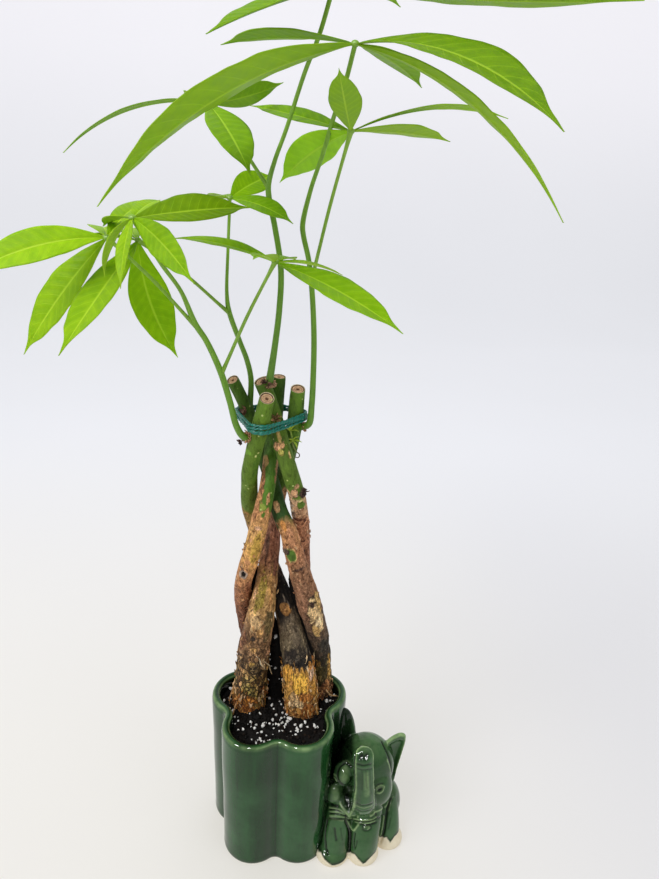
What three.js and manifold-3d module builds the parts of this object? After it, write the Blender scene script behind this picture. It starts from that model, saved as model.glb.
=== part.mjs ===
// A money tree with five braided trunks in a lobed ceramic planter with a seated elephant.
// Millimetres, +Z up. The origin is the middle of the pot's flat base; the elephant sits at +X,
// and the front of the planter is towards -Y.

import * as THREE from 'three';
import { mergeVertices } from 'three/addons/utils/BufferGeometryUtils.js';
import Module from 'manifold-3d';

const wasm = await Module();
wasm.setup();

// Planter
const POT_WIDTH = 100;
const POT_HEIGHT = 113.3;
const POT_TAPER = 0.98;
const LOBES = 5;
const LOBE_OFFSET = 28.5;
const VALLEY_RADIUS = 7.4;
const WALL = 6;
const FLOOR = 8;
const LIP = 3;
const LOBE_RADIUS = POT_WIDTH / 2 - LOBE_OFFSET * Math.cos(Math.PI / 10);
const LOBE_STEPS = 8;
const VALLEY_STEPS = 3;

// Elephant, in round masses [centre, half axes, turn about X, Y and Z] and in limbs whose points
// are [x, y, z, radius]
const ELEPHANT = {
  masses: {
    back: [[66, -6, 36], [23, 21, 33]],
    haunch: [[80, -8, 23], [16, 17, 23], [0, 10, 0]],
    flank: [[54, -4, 24], [14, 18, 24]],
    head: [[65.5, -13, 65.5], [21, 18.5, 23.5]],
    cheek: [[74, -20, 57], [13.5, 13, 15]],
    upperLobe: [[48, -25, 68], [7.5, 8, 9]],
    lowerLobe: [[42.5, -25, 51], [8.5, 8.5, 9.5]],
    jaw: [[56, -30, 46], [12, 10, 7]],
    leftFoot: [[42.5, -37, 4], [12.5, 11.5, 8]],
    rightFoot: [[65, -37, 4], [12, 11, 8]],
    hindFoot: [[85, -25, 4], [11.5, 10.5, 8]],
    noseTip: [[58.3, -40, 104.5], [6.8, 6.8, 8]],
    rightEar: [[86.5, -6, 62], [9, 5, 23], [0, 14, 0]],
    leftEar: [[50, 3, 74], [9, 6, 28], [0, -3, 0]],
  },
  limbs: {
    leftLeg: [[50, -22, 50, 11], [46, -31, 28, 10.5], [43.5, -36, 0, 10]],
    rightLeg: [[68, -22, 50, 12], [66, -33, 28, 11.5], [65, -36, 0, 11]],
    hindLeg: [[80, -10, 30, 13], [83, -21, 14, 11], [84, -24, 0, 10.5]],
    nose: [[63, -28, 46, 10.5], [62, -38, 56, 8.8], [60.5, -41.5, 80, 7.2], [58.5, -40, 104, 6.6]],
  },
  hollows: {
    nostril: [[58.3, -44.5, 109], [4.2, 5, 6.5]],
    ear: [[88.5, -11, 67], [5, 5, 14], [0, 14, 0]],
  },
};
const ELEPHANT_SIDES = 10;
const ELEPHANT_BAND = 16;

// Soil: its level, and waves [height, along X, across Y, start] that make its top uneven
const SOIL_LEVEL = 104;
const SOIL_WAVES = [[0.8, 0.31, 0.27, 0.6], [0.8, 0.11, -0.37, 1.9]];
const SOIL_SHARES = [1, 0.75, 0.5, 0.25];
// Peat packed between the trunks above the soil: [x, y, z, radius]
const PEAT = [[-3, 18, 98, 8.5], [-3, 17, 125, 8.5], [-4, 14.5, 150, 7.5], [-6, 12.5, 168, 5],
  [-7, 11.5, 178, 1.5]];
const PEAT_SIDES = 8;
const PEAT_BANDS = 6;

// Fits, and how finely stems are faceted
const GAP = 0.3;
const TRUNK_SIDES = 10;
const TRUNK_BAND = 9.5;
const SHOOT_SIDES = 7;
const SHOOT_BAND = 8;
const STALK_SIDES = 6;
const SOCKET_POINTS = 4;

// Leaflets: shares of the length where a blade has a ring of points, and its least half widths
const BLADE_STEPS = [0, 0.1, 0.24, 0.4, 0.56, 0.72, 0.87, 1];
const BLADE_THICKNESS = 0.8;
const BLADE_FOLD = 0.16;
const BLADE_FOOT = 0.8;
const BLADE_POINT = 0.5;
const WIDEST_SHIFT = 1.1;
const FULLNESS = 0.9;
const POINT_TAPER = 0.4;

// Trunks, each from its rooted foot to its sawn top: [x, y, z, radius]
const TRUNKS = {
  centre: [
    [16.6, 1.4, 72, 12], [16.6, 1.4, 101, 12.2], [15.5, 1, 117, 12], [12.8, 2.4, 142, 11],
    [9.4, 5.2, 158, 9.9], [4, 9.3, 181, 8.5], [-3, 14.4, 200, 7.1], [-11.3, 21.2, 221.5, 6],
    [-19.2, 21, 243, 5.6], [-22.6, 12, 265, 5.9], [-22.4, 1, 285, 5.6], [-21.4, -7, 300, 5.4],
    [-18.4, -12.5, 316, 5.4], [-14.5, -16.5, 334, 5.3], [-11.2, -18.5, 350, 4.7],
  ],
  left: [
    [-22.8, 8, 72, 12], [-22.8, 8, 101, 12.2], [-21.3, 7, 123, 12.1], [-18.3, 2, 158, 11.4],
    [-15.2, -2, 183, 10], [-12.8, -3, 199, 8.9], [-11.4, -0.5, 209, 8.1], [-10.4, 4.2, 219, 7.4],
    [-9.2, 8.8, 230, 6.9], [-8.2, 13.8, 244, 6.3], [-6, 19.5, 263, 6.1], [-2, 21, 282, 5.6],
    [1.2, 15, 300, 5.5], [4.6, 7.5, 321, 5.2], [6.4, 4.5, 349, 4.8],
  ],
  front: [
    [-10, 24.5, 72, 7], [-10, 24.5, 100, 7], [-16, 27, 123, 6.9], [-22, 27, 145, 6.8],
    [-25.8, 20, 170, 6.7], [-26.8, 9.5, 195, 6.3], [-26.7, 2, 208, 6.2], [-25.3, -4, 219, 6.2],
    [-20.6, -8, 239, 6.3], [-17.4, -9.5, 254, 6], [-14.2, -9.5, 270, 5.8], [-10.9, -6.5, 287, 5.3],
    [-9.2, 0.5, 302, 5.2], [-7.8, 8.5, 319, 5], [-6.4, 12, 336, 4.7], [-5.3, 12.5, 354, 4.4],
  ],
  right: [
    [31.4, 16.4, 72, 7.2], [31.4, 16.4, 98, 7.3], [30.8, 18, 127, 7.6], [27, 12, 159, 7.8],
    [21.2, 1.5, 187, 8.3], [14.5, -6, 216, 8], [8.5, -9.5, 238, 6.8], [3.4, -6.5, 256, 5.9],
    [-2.9, 0, 268, 5.5], [-7.6, 8.3, 282, 5.1], [-13.3, 13.5, 298, 5.1], [-19.8, 13, 319, 4.8],
    [-25.2, 8.5, 335, 4.3], [-32.8, 4, 353.5, 4],
  ],
  back: [
    [8, 30, 72, 7], [8, 30, 118, 7.1], [9.5, 28.8, 157, 6.8], [12.4, 23.3, 190, 6.4],
    [13, 15.5, 222, 6.1], [12.2, 11.5, 243, 5.9], [10.8, 6.5, 259, 5.7], [8, -2, 280, 5.5],
    [3.7, -9, 298, 5.5], [-0.9, -9.8, 313, 5.3], [-5.2, -4.6, 327, 5], [-10, -0.5, 341, 4.9],
    [-15.2, 0.5, 354.5, 5.2],
  ],
};

// Leafy shoots. A stem's points are [x, y, z, radius], and it starts in its trunk. A leaf has its
// stalk's foot, its hub and its leaflets, each [tip x, y, z, width, arch, roll] in mm and degrees.
const SHOOTS = {
  left_shoot: {
    stem: [
      [-18.5, -13.5, 323, 2.2], [-24.4, -17.8, 325.6, 2.1], [-28.3, -19.4, 332.5, 1.9],
      [-32, -20.5, 348, 1.8], [-37, -20, 365, 1.8], [-44.4, -22, 383, 1.6], [-49.5, -24, 392, 1.6],
      [-56, -28, 410, 1.1], [-64, -32, 423, 1.1], [-71.5, -38, 437.7, 1.1], [-75.6, -40, 445.2, 1.1],
    ],
    leaves: [
      { foot: [-49.5, -24, 391], hub: [-90, -34, 435.4], leaflets: [
        [-146, -62, 419, 18, 16, -55], [-140.3, -27, 373, 22, 6, -62], [-107, 19, 433, 17, 16, 0],
        [-78, 16, 452, 15, 14, 0] ] },
      { foot: [-75, -39.6, 444.4], hub: [-75.6, -40, 445.6], leaflets: [
        [-88.6, -49, 418.9, 11, 25, 38], [-75, -73.1, 417.5, 9, 21, 31], [-40.2, -86, 422.7, 14, 10, 62],
        [-21.6, -12.5, 451.9, 24, 3, 29], [-69, -6, 453, 12, 10, 0], [-95, -22, 440, 12, 14, 0] ] },
      { foot: [-36.5, -20, 364], hub: [-7.8, -22, 425.9], leaflets: [
        [-66, 8, 433, 14, 10, -10], [-17, -56, 431, 13, 14, 0], [3, -2, 425.5, 11, 14, 0],
        [28.5, -12, 419.7, 11, 14, 0], [55, -68, 401, 22, 8, 15] ] },
    ],
  },
  back_left_shoot: {
    stem: [
      [-22.3, 9.2, 327, 2], [-22.7, 9.6, 335.5, 1.9], [-22.4, 12, 352, 1.7], [-24.9, 12.5, 363.6, 1.6],
      [-29, 12.5, 374.5, 1.5], [-35.4, 12, 393, 1.5], [-36.5, 12, 403, 1.1], [-35.7, 12, 426, 0.9],
      [-34.3, 12, 454.8, 0.9],
    ],
    leaves: [
      { foot: [-35, 12, 391.5], hub: [-81, -8, 432.4], leaflets: [
        [-103.5, -78, 387, 22, 2, 4], [-60.8, -16.8, 371.7, 25, -20, 26], [-132, 0, 427, 15, 14, 0],
        [-104, 37, 432, 14, 14, 0] ] },
      { foot: [-34.4, 12, 453], hub: [-34.3, 12, 455.2], leaflets: [
        [-12, 34, 468, 18, 8, 35], [1, -16, 445.2, 14, 12, 25], [-60, 2, 451, 11, 12, 0],
        [-50, 46, 452, 12, 12, 0] ] },
    ],
  },
  back_shoot: {
    stem: [
      [-11.5, -0.3, 347, 2.4], [-10.4, 0, 356, 2.3], [-7.8, 1.5, 376, 1.9], [-5.7, 2.5, 397, 1.8],
      [-5.3, 3.5, 419, 1.7], [-9.1, 4.5, 441.5, 1.6], [-12.6, 5, 456.8, 1.6], [-12.9, 5, 463, 1.5],
      [-9.6, 3, 475.3, 1.2], [-4, -2, 489.7, 1.1], [4.8, -11, 515.2, 1.1], [11.1, -17, 530.4, 1.1],
      [16.4, -20, 548.3, 1.1],
    ],
    leaves: [
      { foot: [-12.9, 5, 461.5], hub: [-45.6, 14, 501.5], leaflets: [
        [-114.9, -11, 473.5, 13, 24, 3], [-6.7, 23, 514.4, 15, -9, -45], [-19, -42.5, 467.3, 21, 8, 6],
        [-62, 60, 508, 16, 12, 0], [-38, 70, 512, 16, 12, 0] ] },
      { foot: [16, -19.6, 547], hub: [16.4, -20, 548.8], leaflets: [
        [-36.4, -60, 520.5, 22, 5, -6], [52, 12, 550, 15, 14, 0], [136, -78, 538.2, 20, -4, -11],
        [11, -75, 566, 17, 14, 0], [4, 49, 568, 19, 14, 0], [-30, -1, 553, 15, 14, 0] ] },
    ],
  },
  right_shoot: {
    stem: [
      [9, 4.2, 324.5, 2.2], [13.7, 1, 328, 2.1], [15, 1.4, 340, 1.9], [15.3, 3.8, 356, 1.8],
      [14.8, 5, 381.5, 1.7], [12.6, 5, 408, 1.6], [10.3, 5, 424, 1.5], [6.7, 4, 438, 1.5],
      [6.1, 3, 443.3, 1.5], [9.8, -5, 462, 1.2], [14.9, -14, 478.5, 1.1], [19.2, -23, 494.8, 1.1],
      [23.4, -32, 508.5, 1.1], [26.4, -42, 522.7, 1.1],
    ],
    leaves: [
      { foot: [12, 5, 413], hub: [27.5, -30, 489.1], leaflets: [
        [-25.8, 44, 504.4, 11, 2, -33], [18.3, -73.2, 509, 15, -3, 4], [-7.4, 25, 464.5, 20, 10, 35],
        [82.5, 3, 489.2, 17, 6, -14], [118.8, 27.3, 503.9, 9, 15, -13] ] },
      { foot: [26, -41, 521.5], hub: [26.4, -42, 523.2], leaflets: [
        [-82.4, -72.9, 451.8, 34, 18, 18], [-36.9, -0.4, 526.5, 22, 8, 2],
        [100, -113, 487.7, 30, 21, 18], [110.9, -99.5, 455.7, 13, 21, -25],
        [64.2, -2, 512.9, 20, 11, 4] ] },
    ],
  },
};
const TRUNK_OF_SHOOT = {
  left_shoot: 'centre',
  back_left_shoot: 'right',
  back_shoot: 'back',
  right_shoot: 'left',
};
const STALK_RADIUS = 1.0;
const STALK_SWELL = 1.4;
const STALK_BOW = 0.03;
const HUB_RADIUS = 1.6;

// Tie round the trunks just under their tops
const TIE_LEVEL = 332;
const TIE_STRANDS = 3;
const TIE_STRAND_RADIUS = 0.75;
const TIE_GROOVE = 1.3;
const TIE_CLEARANCE = 0.7;
const TIE_STEPS = 28;

const GLAZE = { color: 0x1f4a31, roughness: 0.2 };
const EARTH = { color: 0x14110e, roughness: 1 };
const BARK = { color: 0x8a6a45, roughness: 0.85 };
const LEAF = { color: 0x86bd1f, roughness: 0.5 };
const TWINE = { color: 0x0b6b63, roughness: 0.4 };

function radians(degrees) {
  return degrees * Math.PI / 180;
}

function vector(values) {
  return new THREE.Vector3(values[0], values[1], values[2]);
}

// A solid that can be joined and cut, from a closed geometry.
function solid(geometry) {
  const bare = new THREE.BufferGeometry();
  bare.setAttribute('position', geometry.getAttribute('position'));
  bare.setIndex(geometry.getIndex());
  const merged = mergeVertices(bare, 1e-4);
  return new wasm.Manifold(new wasm.Mesh({
    numProp: 3,
    vertProperties: new Float32Array(merged.getAttribute('position').array),
    triVerts: new Uint32Array(merged.getIndex().array),
  }));
}

function geometryOf(body) {
  const mesh = body.getMesh();
  const geometry = new THREE.BufferGeometry();
  const step = mesh.numProp;
  const positions = new Float32Array(mesh.vertProperties.length / step * 3);
  for (let i = 0; i < positions.length / 3; i += 1) {
    positions.set(mesh.vertProperties.subarray(i * step, i * step + 3), i * 3);
  }
  geometry.setAttribute('position', new THREE.BufferAttribute(positions, 3));
  geometry.setIndex(new THREE.BufferAttribute(new Uint32Array(mesh.triVerts), 1));
  geometry.computeVertexNormals();
  return geometry;
}

function joined(bodies) {
  return bodies.reduce((whole, body) => whole.add(body));
}

// A skin over rings of equal count, each counter-clockwise seen from where the next one lies.
// An open row of rings is capped at both ends; a looped row joins its last ring to its first.
function loft(rings, looped = false) {
  const count = rings[0].length;
  const positions = rings.flat().flatMap((point) => [point.x, point.y, point.z]);
  const triangles = [];
  const bands = looped ? rings.length : rings.length - 1;
  for (let i = 0; i < bands; i += 1) {
    const low = i * count;
    const high = (i + 1) % rings.length * count;
    for (let j = 0; j < count; j += 1) {
      const next = (j + 1) % count;
      triangles.push(low + j, low + next, high + next, low + j, high + next, high + j);
    }
  }
  if (!looped) {
    const ends = [[rings[0], 0, true], [rings.at(-1), (rings.length - 1) * count, false]];
    for (const [ring, offset, turned] of ends) {
      const middle = ring.reduce((sum, point) => sum.add(point), new THREE.Vector3());
      middle.divideScalar(count);
      const centre = positions.length / 3;
      positions.push(middle.x, middle.y, middle.z);
      for (let j = 0; j < count; j += 1) {
        const pair = [offset + j, offset + (j + 1) % count];
        triangles.push(centre, ...(turned ? pair.reverse() : pair));
      }
    }
  }
  const geometry = new THREE.BufferGeometry();
  geometry.setAttribute('position', new THREE.Float32BufferAttribute(positions, 3));
  geometry.setIndex(triangles);
  return geometry;
}

// A round tube through points [x, y, z, radius], grown by an extra radius where one is asked.
function taperedTube(points, sides, bands, grow = 0) {
  const curve = new THREE.CatmullRomCurve3(points.map(vector), false, 'centripetal');
  const frames = curve.computeFrenetFrames(bands, false);
  const steps = (points.length - 1) * 20;
  const lengths = curve.getLengths(steps);
  const total = lengths.at(-1);
  const stations = points.map((_, i) => lengths[i * steps / (points.length - 1)]);
  const rings = [];
  for (let i = 0; i <= bands; i += 1) {
    const reach = i / bands * total;
    let k = stations.findIndex((station) => station >= reach - 1e-6);
    k = Math.max(k, 1);
    const share = (reach - stations[k - 1]) / (stations[k] - stations[k - 1]);
    const radius = THREE.MathUtils.lerp(points[k - 1][3], points[k][3], share) + grow;
    const centre = curve.getPointAt(i / bands);
    const ring = [];
    for (let j = 0; j < sides; j += 1) {
      const angle = 2 * Math.PI * j / sides;
      ring.push(centre.clone()
        .addScaledVector(frames.normals[i], radius * Math.cos(angle))
        .addScaledVector(frames.binormals[i], radius * Math.sin(angle)));
    }
    rings.push(ring);
  }
  return loft(rings);
}

// An ellipsoid at a centre, with half axes, turned about X, Y and Z by degrees.
function ellipsoid([centre, halfAxes, turn = [0, 0, 0]], around = 11, down = 7) {
  const geometry = new THREE.SphereGeometry(1, around, down);
  geometry.rotateX(Math.PI / 2);
  geometry.scale(...halfAxes);
  const matrix = new THREE.Matrix4().makeRotationFromEuler(
    new THREE.Euler(...turn.map(radians), 'ZYX'));
  matrix.setPosition(...centre);
  geometry.applyMatrix4(matrix);
  return geometry;
}

// The pot's plan: five round lobes joined by round valleys, moved in by an inset.
function lobedOutline(inset, scale) {
  const lobe = LOBE_RADIUS - inset;
  const valley = VALLEY_RADIUS + inset;
  const half = Math.PI / LOBES;
  const across = LOBE_OFFSET * Math.sin(half);
  const valleyOffset = LOBE_OFFSET * Math.cos(half) + Math.sqrt((lobe + valley) ** 2 - across ** 2);
  const reach = Math.atan2(valleyOffset * Math.sin(half), valleyOffset * Math.cos(half) - LOBE_OFFSET);
  const points = [];
  for (let k = 0; k < LOBES; k += 1) {
    const facing = -Math.PI / 2 + half + 2 * half * k;
    const lobeCentre = new THREE.Vector2(Math.cos(facing), Math.sin(facing)).multiplyScalar(LOBE_OFFSET);
    for (let i = 0; i <= LOBE_STEPS; i += 1) {
      const angle = facing - reach + 2 * reach * i / LOBE_STEPS;
      points.push(new THREE.Vector2(Math.cos(angle), Math.sin(angle)).multiplyScalar(lobe).add(lobeCentre));
    }
    const toValley = facing + half;
    const valleyCentre = new THREE.Vector2(Math.cos(toValley), Math.sin(toValley))
      .multiplyScalar(valleyOffset);
    const sweep = reach - half;
    for (let i = 1; i < VALLEY_STEPS; i += 1) {
      const angle = toValley + Math.PI + sweep - 2 * sweep * i / VALLEY_STEPS;
      points.push(new THREE.Vector2(Math.cos(angle), Math.sin(angle))
        .multiplyScalar(valley).add(valleyCentre));
    }
  }
  return points.map((point) => point.multiplyScalar(scale));
}

// Rings of the pot's plan at levels [height, inset]; the pot narrows slightly towards its base.
function lobedRings(levels) {
  return levels.map(([height, inset]) => {
    const scale = THREE.MathUtils.lerp(POT_TAPER, 1, height / POT_HEIGHT);
    return lobedOutline(inset, scale)
      .map((point) => new THREE.Vector3(point.x, point.y, height));
  });
}

function pot() {
  return solid(loft(lobedRings([
    [0, 2.5], [0.8, 0.8], [3, 0], [POT_HEIGHT - 5, 0], [POT_HEIGHT - 1.6, 0.6], [POT_HEIGHT, LIP - 0.7],
    [POT_HEIGHT, LIP + 1], [POT_HEIGHT - 1.8, WALL - 0.8], [POT_HEIGHT - 5, WALL],
    [FLOOR + 4, WALL], [FLOOR, WALL + 4],
  ])));
}

// The elephant sits against the pot's right side, its trunk raised and its head turned to -X.
function elephant() {
  const masses = Object.values(ELEPHANT.masses).map((mass) => solid(ellipsoid(mass)));
  const limbs = Object.values(ELEPHANT.limbs).map((points) => {
    const reach = Math.abs(points.at(-1)[2] - points[0][2]);
    return solid(taperedTube(points, ELEPHANT_SIDES, Math.ceil(reach / ELEPHANT_BAND)));
  });
  const hollows = Object.values(ELEPHANT.hollows).map((hollow) => solid(ellipsoid(hollow)));
  return hollows.reduce((whole, hollow) => whole.subtract(hollow), joined([...masses, ...limbs]));
}

function planter() {
  const ground = new THREE.BoxGeometry(4 * POT_WIDTH, 4 * POT_WIDTH, POT_WIDTH);
  ground.translate(0, 0, -POT_WIDTH / 2);
  const bore = solid(loft(lobedRings([
    [FLOOR, WALL + 4], [FLOOR + 4, WALL], [POT_HEIGHT - 5, WALL], [POT_HEIGHT - 1.8, WALL - 0.8],
    [POT_HEIGHT + 0.1, LIP + 1],
  ])));
  return pot().add(elephant().subtract(bore)).subtract(solid(ground));
}

function trunk(points, grow = 0) {
  const bands = Math.round((points.at(-1)[2] - points[0][2]) / TRUNK_BAND);
  return solid(taperedTube(points, TRUNK_SIDES, bands, grow));
}

function soilTop(x, y) {
  return SOIL_WAVES.reduce((level, [height, alongX, acrossY, start]) => (
    level + height * Math.sin(alongX * x + acrossY * y + start)
  ), SOIL_LEVEL);
}

// Soil: fills the pot to its level, with a top that a sum of waves raises and lowers, and climbs
// between the trunks.
function soil() {
  const wall = WALL + GAP;
  const sides = lobedRings([[FLOOR + GAP, WALL + 4 + GAP], [FLOOR + 4, wall], [SOIL_LEVEL, wall]]);
  const rim = sides.at(-1);
  const shrink = (share) => rim.map((point) => {
    const x = point.x * share;
    const y = point.y * share;
    return new THREE.Vector3(x, y, soilTop(x, y));
  });
  return solid(loft([...sides.slice(0, 2), ...SOIL_SHARES.map(shrink)]))
    .add(solid(taperedTube(PEAT, PEAT_SIDES, PEAT_BANDS)));
}

// One leaflet: a thin blade on a circular arc from the hub to its tip. Its half width along the
// midrib is a sine of the share of its length, drawn in towards the tip, so it narrows to a stalk at
// its foot and to a fine point, and its two halves rise a little from the midrib.
function leaflet(hub, [tipX, tipY, tipZ, width, arch, roll]) {
  const chord = new THREE.Vector3(tipX, tipY, tipZ).sub(vector(hub));
  const up = new THREE.Vector3(0, 0, 1);
  const forward = new THREE.Vector3(chord.x, chord.y, 0).normalize();
  const sideways = new THREE.Vector3().crossVectors(up, forward);
  const bend = radians(arch);
  const spread = chord.length() / (2 * Math.sin(bend));
  const start = Math.asin(chord.z / chord.length()) + bend;
  const rings = BLADE_STEPS.map((t) => {
    const pitch = start - 2 * bend * t;
    const middle = vector(hub)
      .addScaledVector(forward, spread * (Math.sin(start) - Math.sin(pitch)))
      .addScaledVector(up, spread * (Math.cos(pitch) - Math.cos(start)));
    const along = forward.clone().multiplyScalar(Math.cos(pitch)).addScaledVector(up, Math.sin(pitch));
    const across = sideways.clone().applyAxisAngle(along, radians(roll));
    const normal = new THREE.Vector3().crossVectors(along, across);
    const swell = t < 1 ? Math.sin(Math.PI * t ** WIDEST_SHIFT) ** FULLNESS : 0;
    const shape = swell * (1 - POINT_TAPER * t ** 4);
    const half = Math.max(width / 2 * shape, t < 0.5 ? BLADE_FOOT : BLADE_POINT);
    const at = (side, height) => middle.clone()
      .addScaledVector(across, side * half)
      .addScaledVector(normal, height * BLADE_THICKNESS / 2 + Math.abs(side) * half * BLADE_FOLD);
    return [at(1, -1), at(1, 1), at(0, 1), at(-1, 1), at(-1, -1), at(0, -1)];
  });
  return solid(loft(rings));
}

function leaf({ foot, hub, leaflets }) {
  const span = vector(hub).sub(vector(foot));
  const parts = leaflets.map((shape) => leaflet(hub, shape));
  parts.push(solid(ellipsoid([hub, [HUB_RADIUS, HUB_RADIUS, HUB_RADIUS]], 7, 5)));
  if (span.length() > 2 * HUB_RADIUS) {
    const middle = vector(foot).addScaledVector(span, 0.5);
    middle.z += span.length() * STALK_BOW;
    const points = [
      [...foot, STALK_RADIUS * STALK_SWELL], [...middle, STALK_RADIUS], [...hub, STALK_RADIUS],
    ];
    parts.push(solid(taperedTube(points, STALK_SIDES, 6)));
  }
  return joined(parts);
}

function shoot({ stem, leaves }) {
  const height = stem.at(-1)[2] - stem[0][2];
  const bands = Math.round(height / SHOOT_BAND);
  return joined([solid(taperedTube(stem, SHOOT_SIDES, bands)), ...leaves.map(leaf)]);
}

// A trunk's [x, y, radius] at the tie's level, the radius grown for its lean.
function postAt(points) {
  const k = points.findIndex((point) => point[2] > TIE_LEVEL);
  const [low, high] = [points[k - 1], points[k]];
  const rise = high[2] - low[2];
  const lean = Math.hypot(high[0] - low[0], high[1] - low[1]) / rise;
  const at = (i) => THREE.MathUtils.lerp(low[i], high[i], (TIE_LEVEL - low[2]) / rise);
  return [at(0), at(1), at(3) * Math.hypot(1, lean) + TIE_STRANDS * TIE_STRAND_RADIUS * lean];
}

// The tie: a loop drawn taut round the trunks at its level. At each heading it touches the trunk
// that reaches furthest that way. Its strands lie on each other and show as ridges outside.
function tie() {
  const posts = Object.values(TRUNKS).map(postAt);
  const loop = Array.from({ length: TIE_STEPS }, (_, i) => {
    const heading = 2 * Math.PI * i / TIE_STEPS;
    const out = new THREE.Vector3(Math.cos(heading), Math.sin(heading), 0);
    const furthest = posts.map((post) => post[0] * out.x + post[1] * out.y + post[2]);
    const post = posts[furthest.indexOf(Math.max(...furthest))];
    const point = new THREE.Vector3(post[0], post[1], TIE_LEVEL);
    point.addScaledVector(out, post[2] + TIE_CLEARANCE);
    return { point, out };
  });
  const half = TIE_STRANDS * TIE_STRAND_RADIUS;
  const profile = [[0, -half], [0, half]];
  for (let s = TIE_STRANDS - 1; s >= 0; s -= 1) {
    const middle = (2 * s + 1) * TIE_STRAND_RADIUS - half;
    profile.push([2 * TIE_STRAND_RADIUS, middle]);
    if (s > 0) {
      profile.push([TIE_GROOVE * TIE_STRAND_RADIUS, middle - TIE_STRAND_RADIUS]);
    }
  }
  return solid(loft(loop.map(({ point, out }) => profile.map(([outward, rise]) => (
    point.clone().addScaledVector(out, outward).setZ(TIE_LEVEL + rise)
  ))), true));
}

const tree = new THREE.Group();

function place(name, body, finish) {
  const material = new THREE.MeshStandardMaterial({ metalness: 0, ...finish });
  const mesh = new THREE.Mesh(geometryOf(body), material);
  mesh.name = name;
  tree.add(mesh);
}

place('planter', planter(), GLAZE);
let earth = soil();
for (const points of Object.values(TRUNKS)) {
  earth = earth.subtract(trunk(points, GAP));
}
place('soil', earth, EARTH);
for (const [name, points] of Object.entries(TRUNKS)) {
  let wood = trunk(points);
  for (const [shootName, { stem }] of Object.entries(SHOOTS)) {
    if (TRUNK_OF_SHOOT[shootName] === name) {
      const foot = stem.slice(0, SOCKET_POINTS);
      wood = wood.subtract(solid(taperedTube(foot, SHOOT_SIDES, SOCKET_POINTS, GAP)));
    }
  }
  place(`trunk_${name}`, wood, BARK);
}
for (const [name, shape] of Object.entries(SHOOTS)) {
  place(name, shoot(shape), LEAF);
}
place('tie', tie(), TWINE);

export default tree;
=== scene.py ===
"""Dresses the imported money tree: bark, leaves, tie, soil, glazed planter and seated elephant."""

import math

import bpy
import numpy as np
from mathutils import Matrix, Vector


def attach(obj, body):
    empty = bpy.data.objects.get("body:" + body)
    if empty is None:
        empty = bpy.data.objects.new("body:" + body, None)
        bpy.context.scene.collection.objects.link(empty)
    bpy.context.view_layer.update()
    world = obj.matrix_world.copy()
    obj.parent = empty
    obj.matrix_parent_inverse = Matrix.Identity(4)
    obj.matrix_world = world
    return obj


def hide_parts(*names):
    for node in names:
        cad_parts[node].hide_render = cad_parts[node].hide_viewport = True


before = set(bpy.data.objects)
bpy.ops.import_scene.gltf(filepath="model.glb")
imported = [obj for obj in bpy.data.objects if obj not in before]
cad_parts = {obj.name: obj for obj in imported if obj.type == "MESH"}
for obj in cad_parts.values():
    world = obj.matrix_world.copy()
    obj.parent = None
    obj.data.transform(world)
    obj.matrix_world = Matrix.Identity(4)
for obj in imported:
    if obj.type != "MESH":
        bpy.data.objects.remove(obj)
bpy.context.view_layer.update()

bl_info = {
    "name": "Potted Money Tree",
    "version": (1, 0, 0),
    "blender": (4, 5, 0),
    "location": "3D View > Sidebar > Money Tree",
    "description": "Builds a braided money tree in a glazed planter around its solid model",
    "category": "Add Mesh",
}

MM = 0.001

# Lattice noise: how many random values it draws on, and what spreads them over the cells
NOISE_VALUES = 4096
NOISE_PRIMES = (73856093, 19349663, 83492791)

# Planter, in millimetres
POT_WIDTH = 100
POT_HEIGHT = 113.3
POT_TAPER = 0.98
LOBES = 5
LOBE_OFFSET = 28.5
VALLEY_RADIUS = 7.4
WALL = 6
LIP = 3
LOBE_RADIUS = POT_WIDTH / 2 - LOBE_OFFSET * math.cos(math.pi / 10)
SOIL_LEVEL = 104
# How far down the soil's skin and the pot's inside go
SOIL_FOOT = SOIL_LEVEL - 6
SOIL_WAVES = ((0.8, 0.31, 0.27, 0.6), (0.8, 0.11, -0.37, 1.9))

# Peat packed between the trunks: x, y, z, radius
PEAT = ((-3, 18, 98, 8.5), (-3, 17, 125, 8.5), (-4, 14.5, 150, 7.5), (-6, 12.5, 168, 5),
        (-7, 11.5, 178, 1.5))
# Dark strings of peat in the gaps beside it: painted shade where those gaps lie in shade
SHADE_STRINGS = (
    ((-19.2, 7, 229, 1.2), (-19.5, 8, 216, 2.7), (-19.8, 9, 203, 3), (-18.4, 10, 190, 3.2),
     (-16, 12, 175, 3)),
    ((5.8, 8, 221, 1), (6.6, 9, 208, 2.2), (9.4, 9.4, 195, 2.6), (12.9, 10, 183, 2.7),
     (16.7, 10, 173, 2.8), (19.4, 9.6, 159, 2.8), (22, 9.6, 147, 2.6), (24, 11, 134, 2.4)),
)

# Elephant masses: centre, half axes, and a turn about Y in degrees
ELEPHANT_MASSES = (
    ((65, -6, 33), (22.5, 20.5, 28), 0),
    ((80, -8, 20.5), (15.5, 17, 20.5), 10),
    ((54, -4, 24), (14, 18, 24), 0),
    ((65.5, -13, 65.5), (21, 18.5, 23.5), 0),
    ((71.5, -23, 54), (13.5, 13, 18), 0),
    ((48, -25, 68), (7.5, 8, 9), 0),
    ((42.5, -25, 51), (8.5, 8.5, 9.5), 0),
    ((56, -30, 46), (12, 10, 7), 0),
    ((42.5, -37, 4), (12.5, 11.5, 8), 0),
    ((65, -37, 4), (12, 11, 8), 0),
    ((85, -25, 4), (11.5, 10.5, 8), 0),
    ((58.6, -40, 101), (7.3, 6.4, 7), 0),
    ((50, 3, 74), (9, 6, 28), -3),
)
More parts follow.
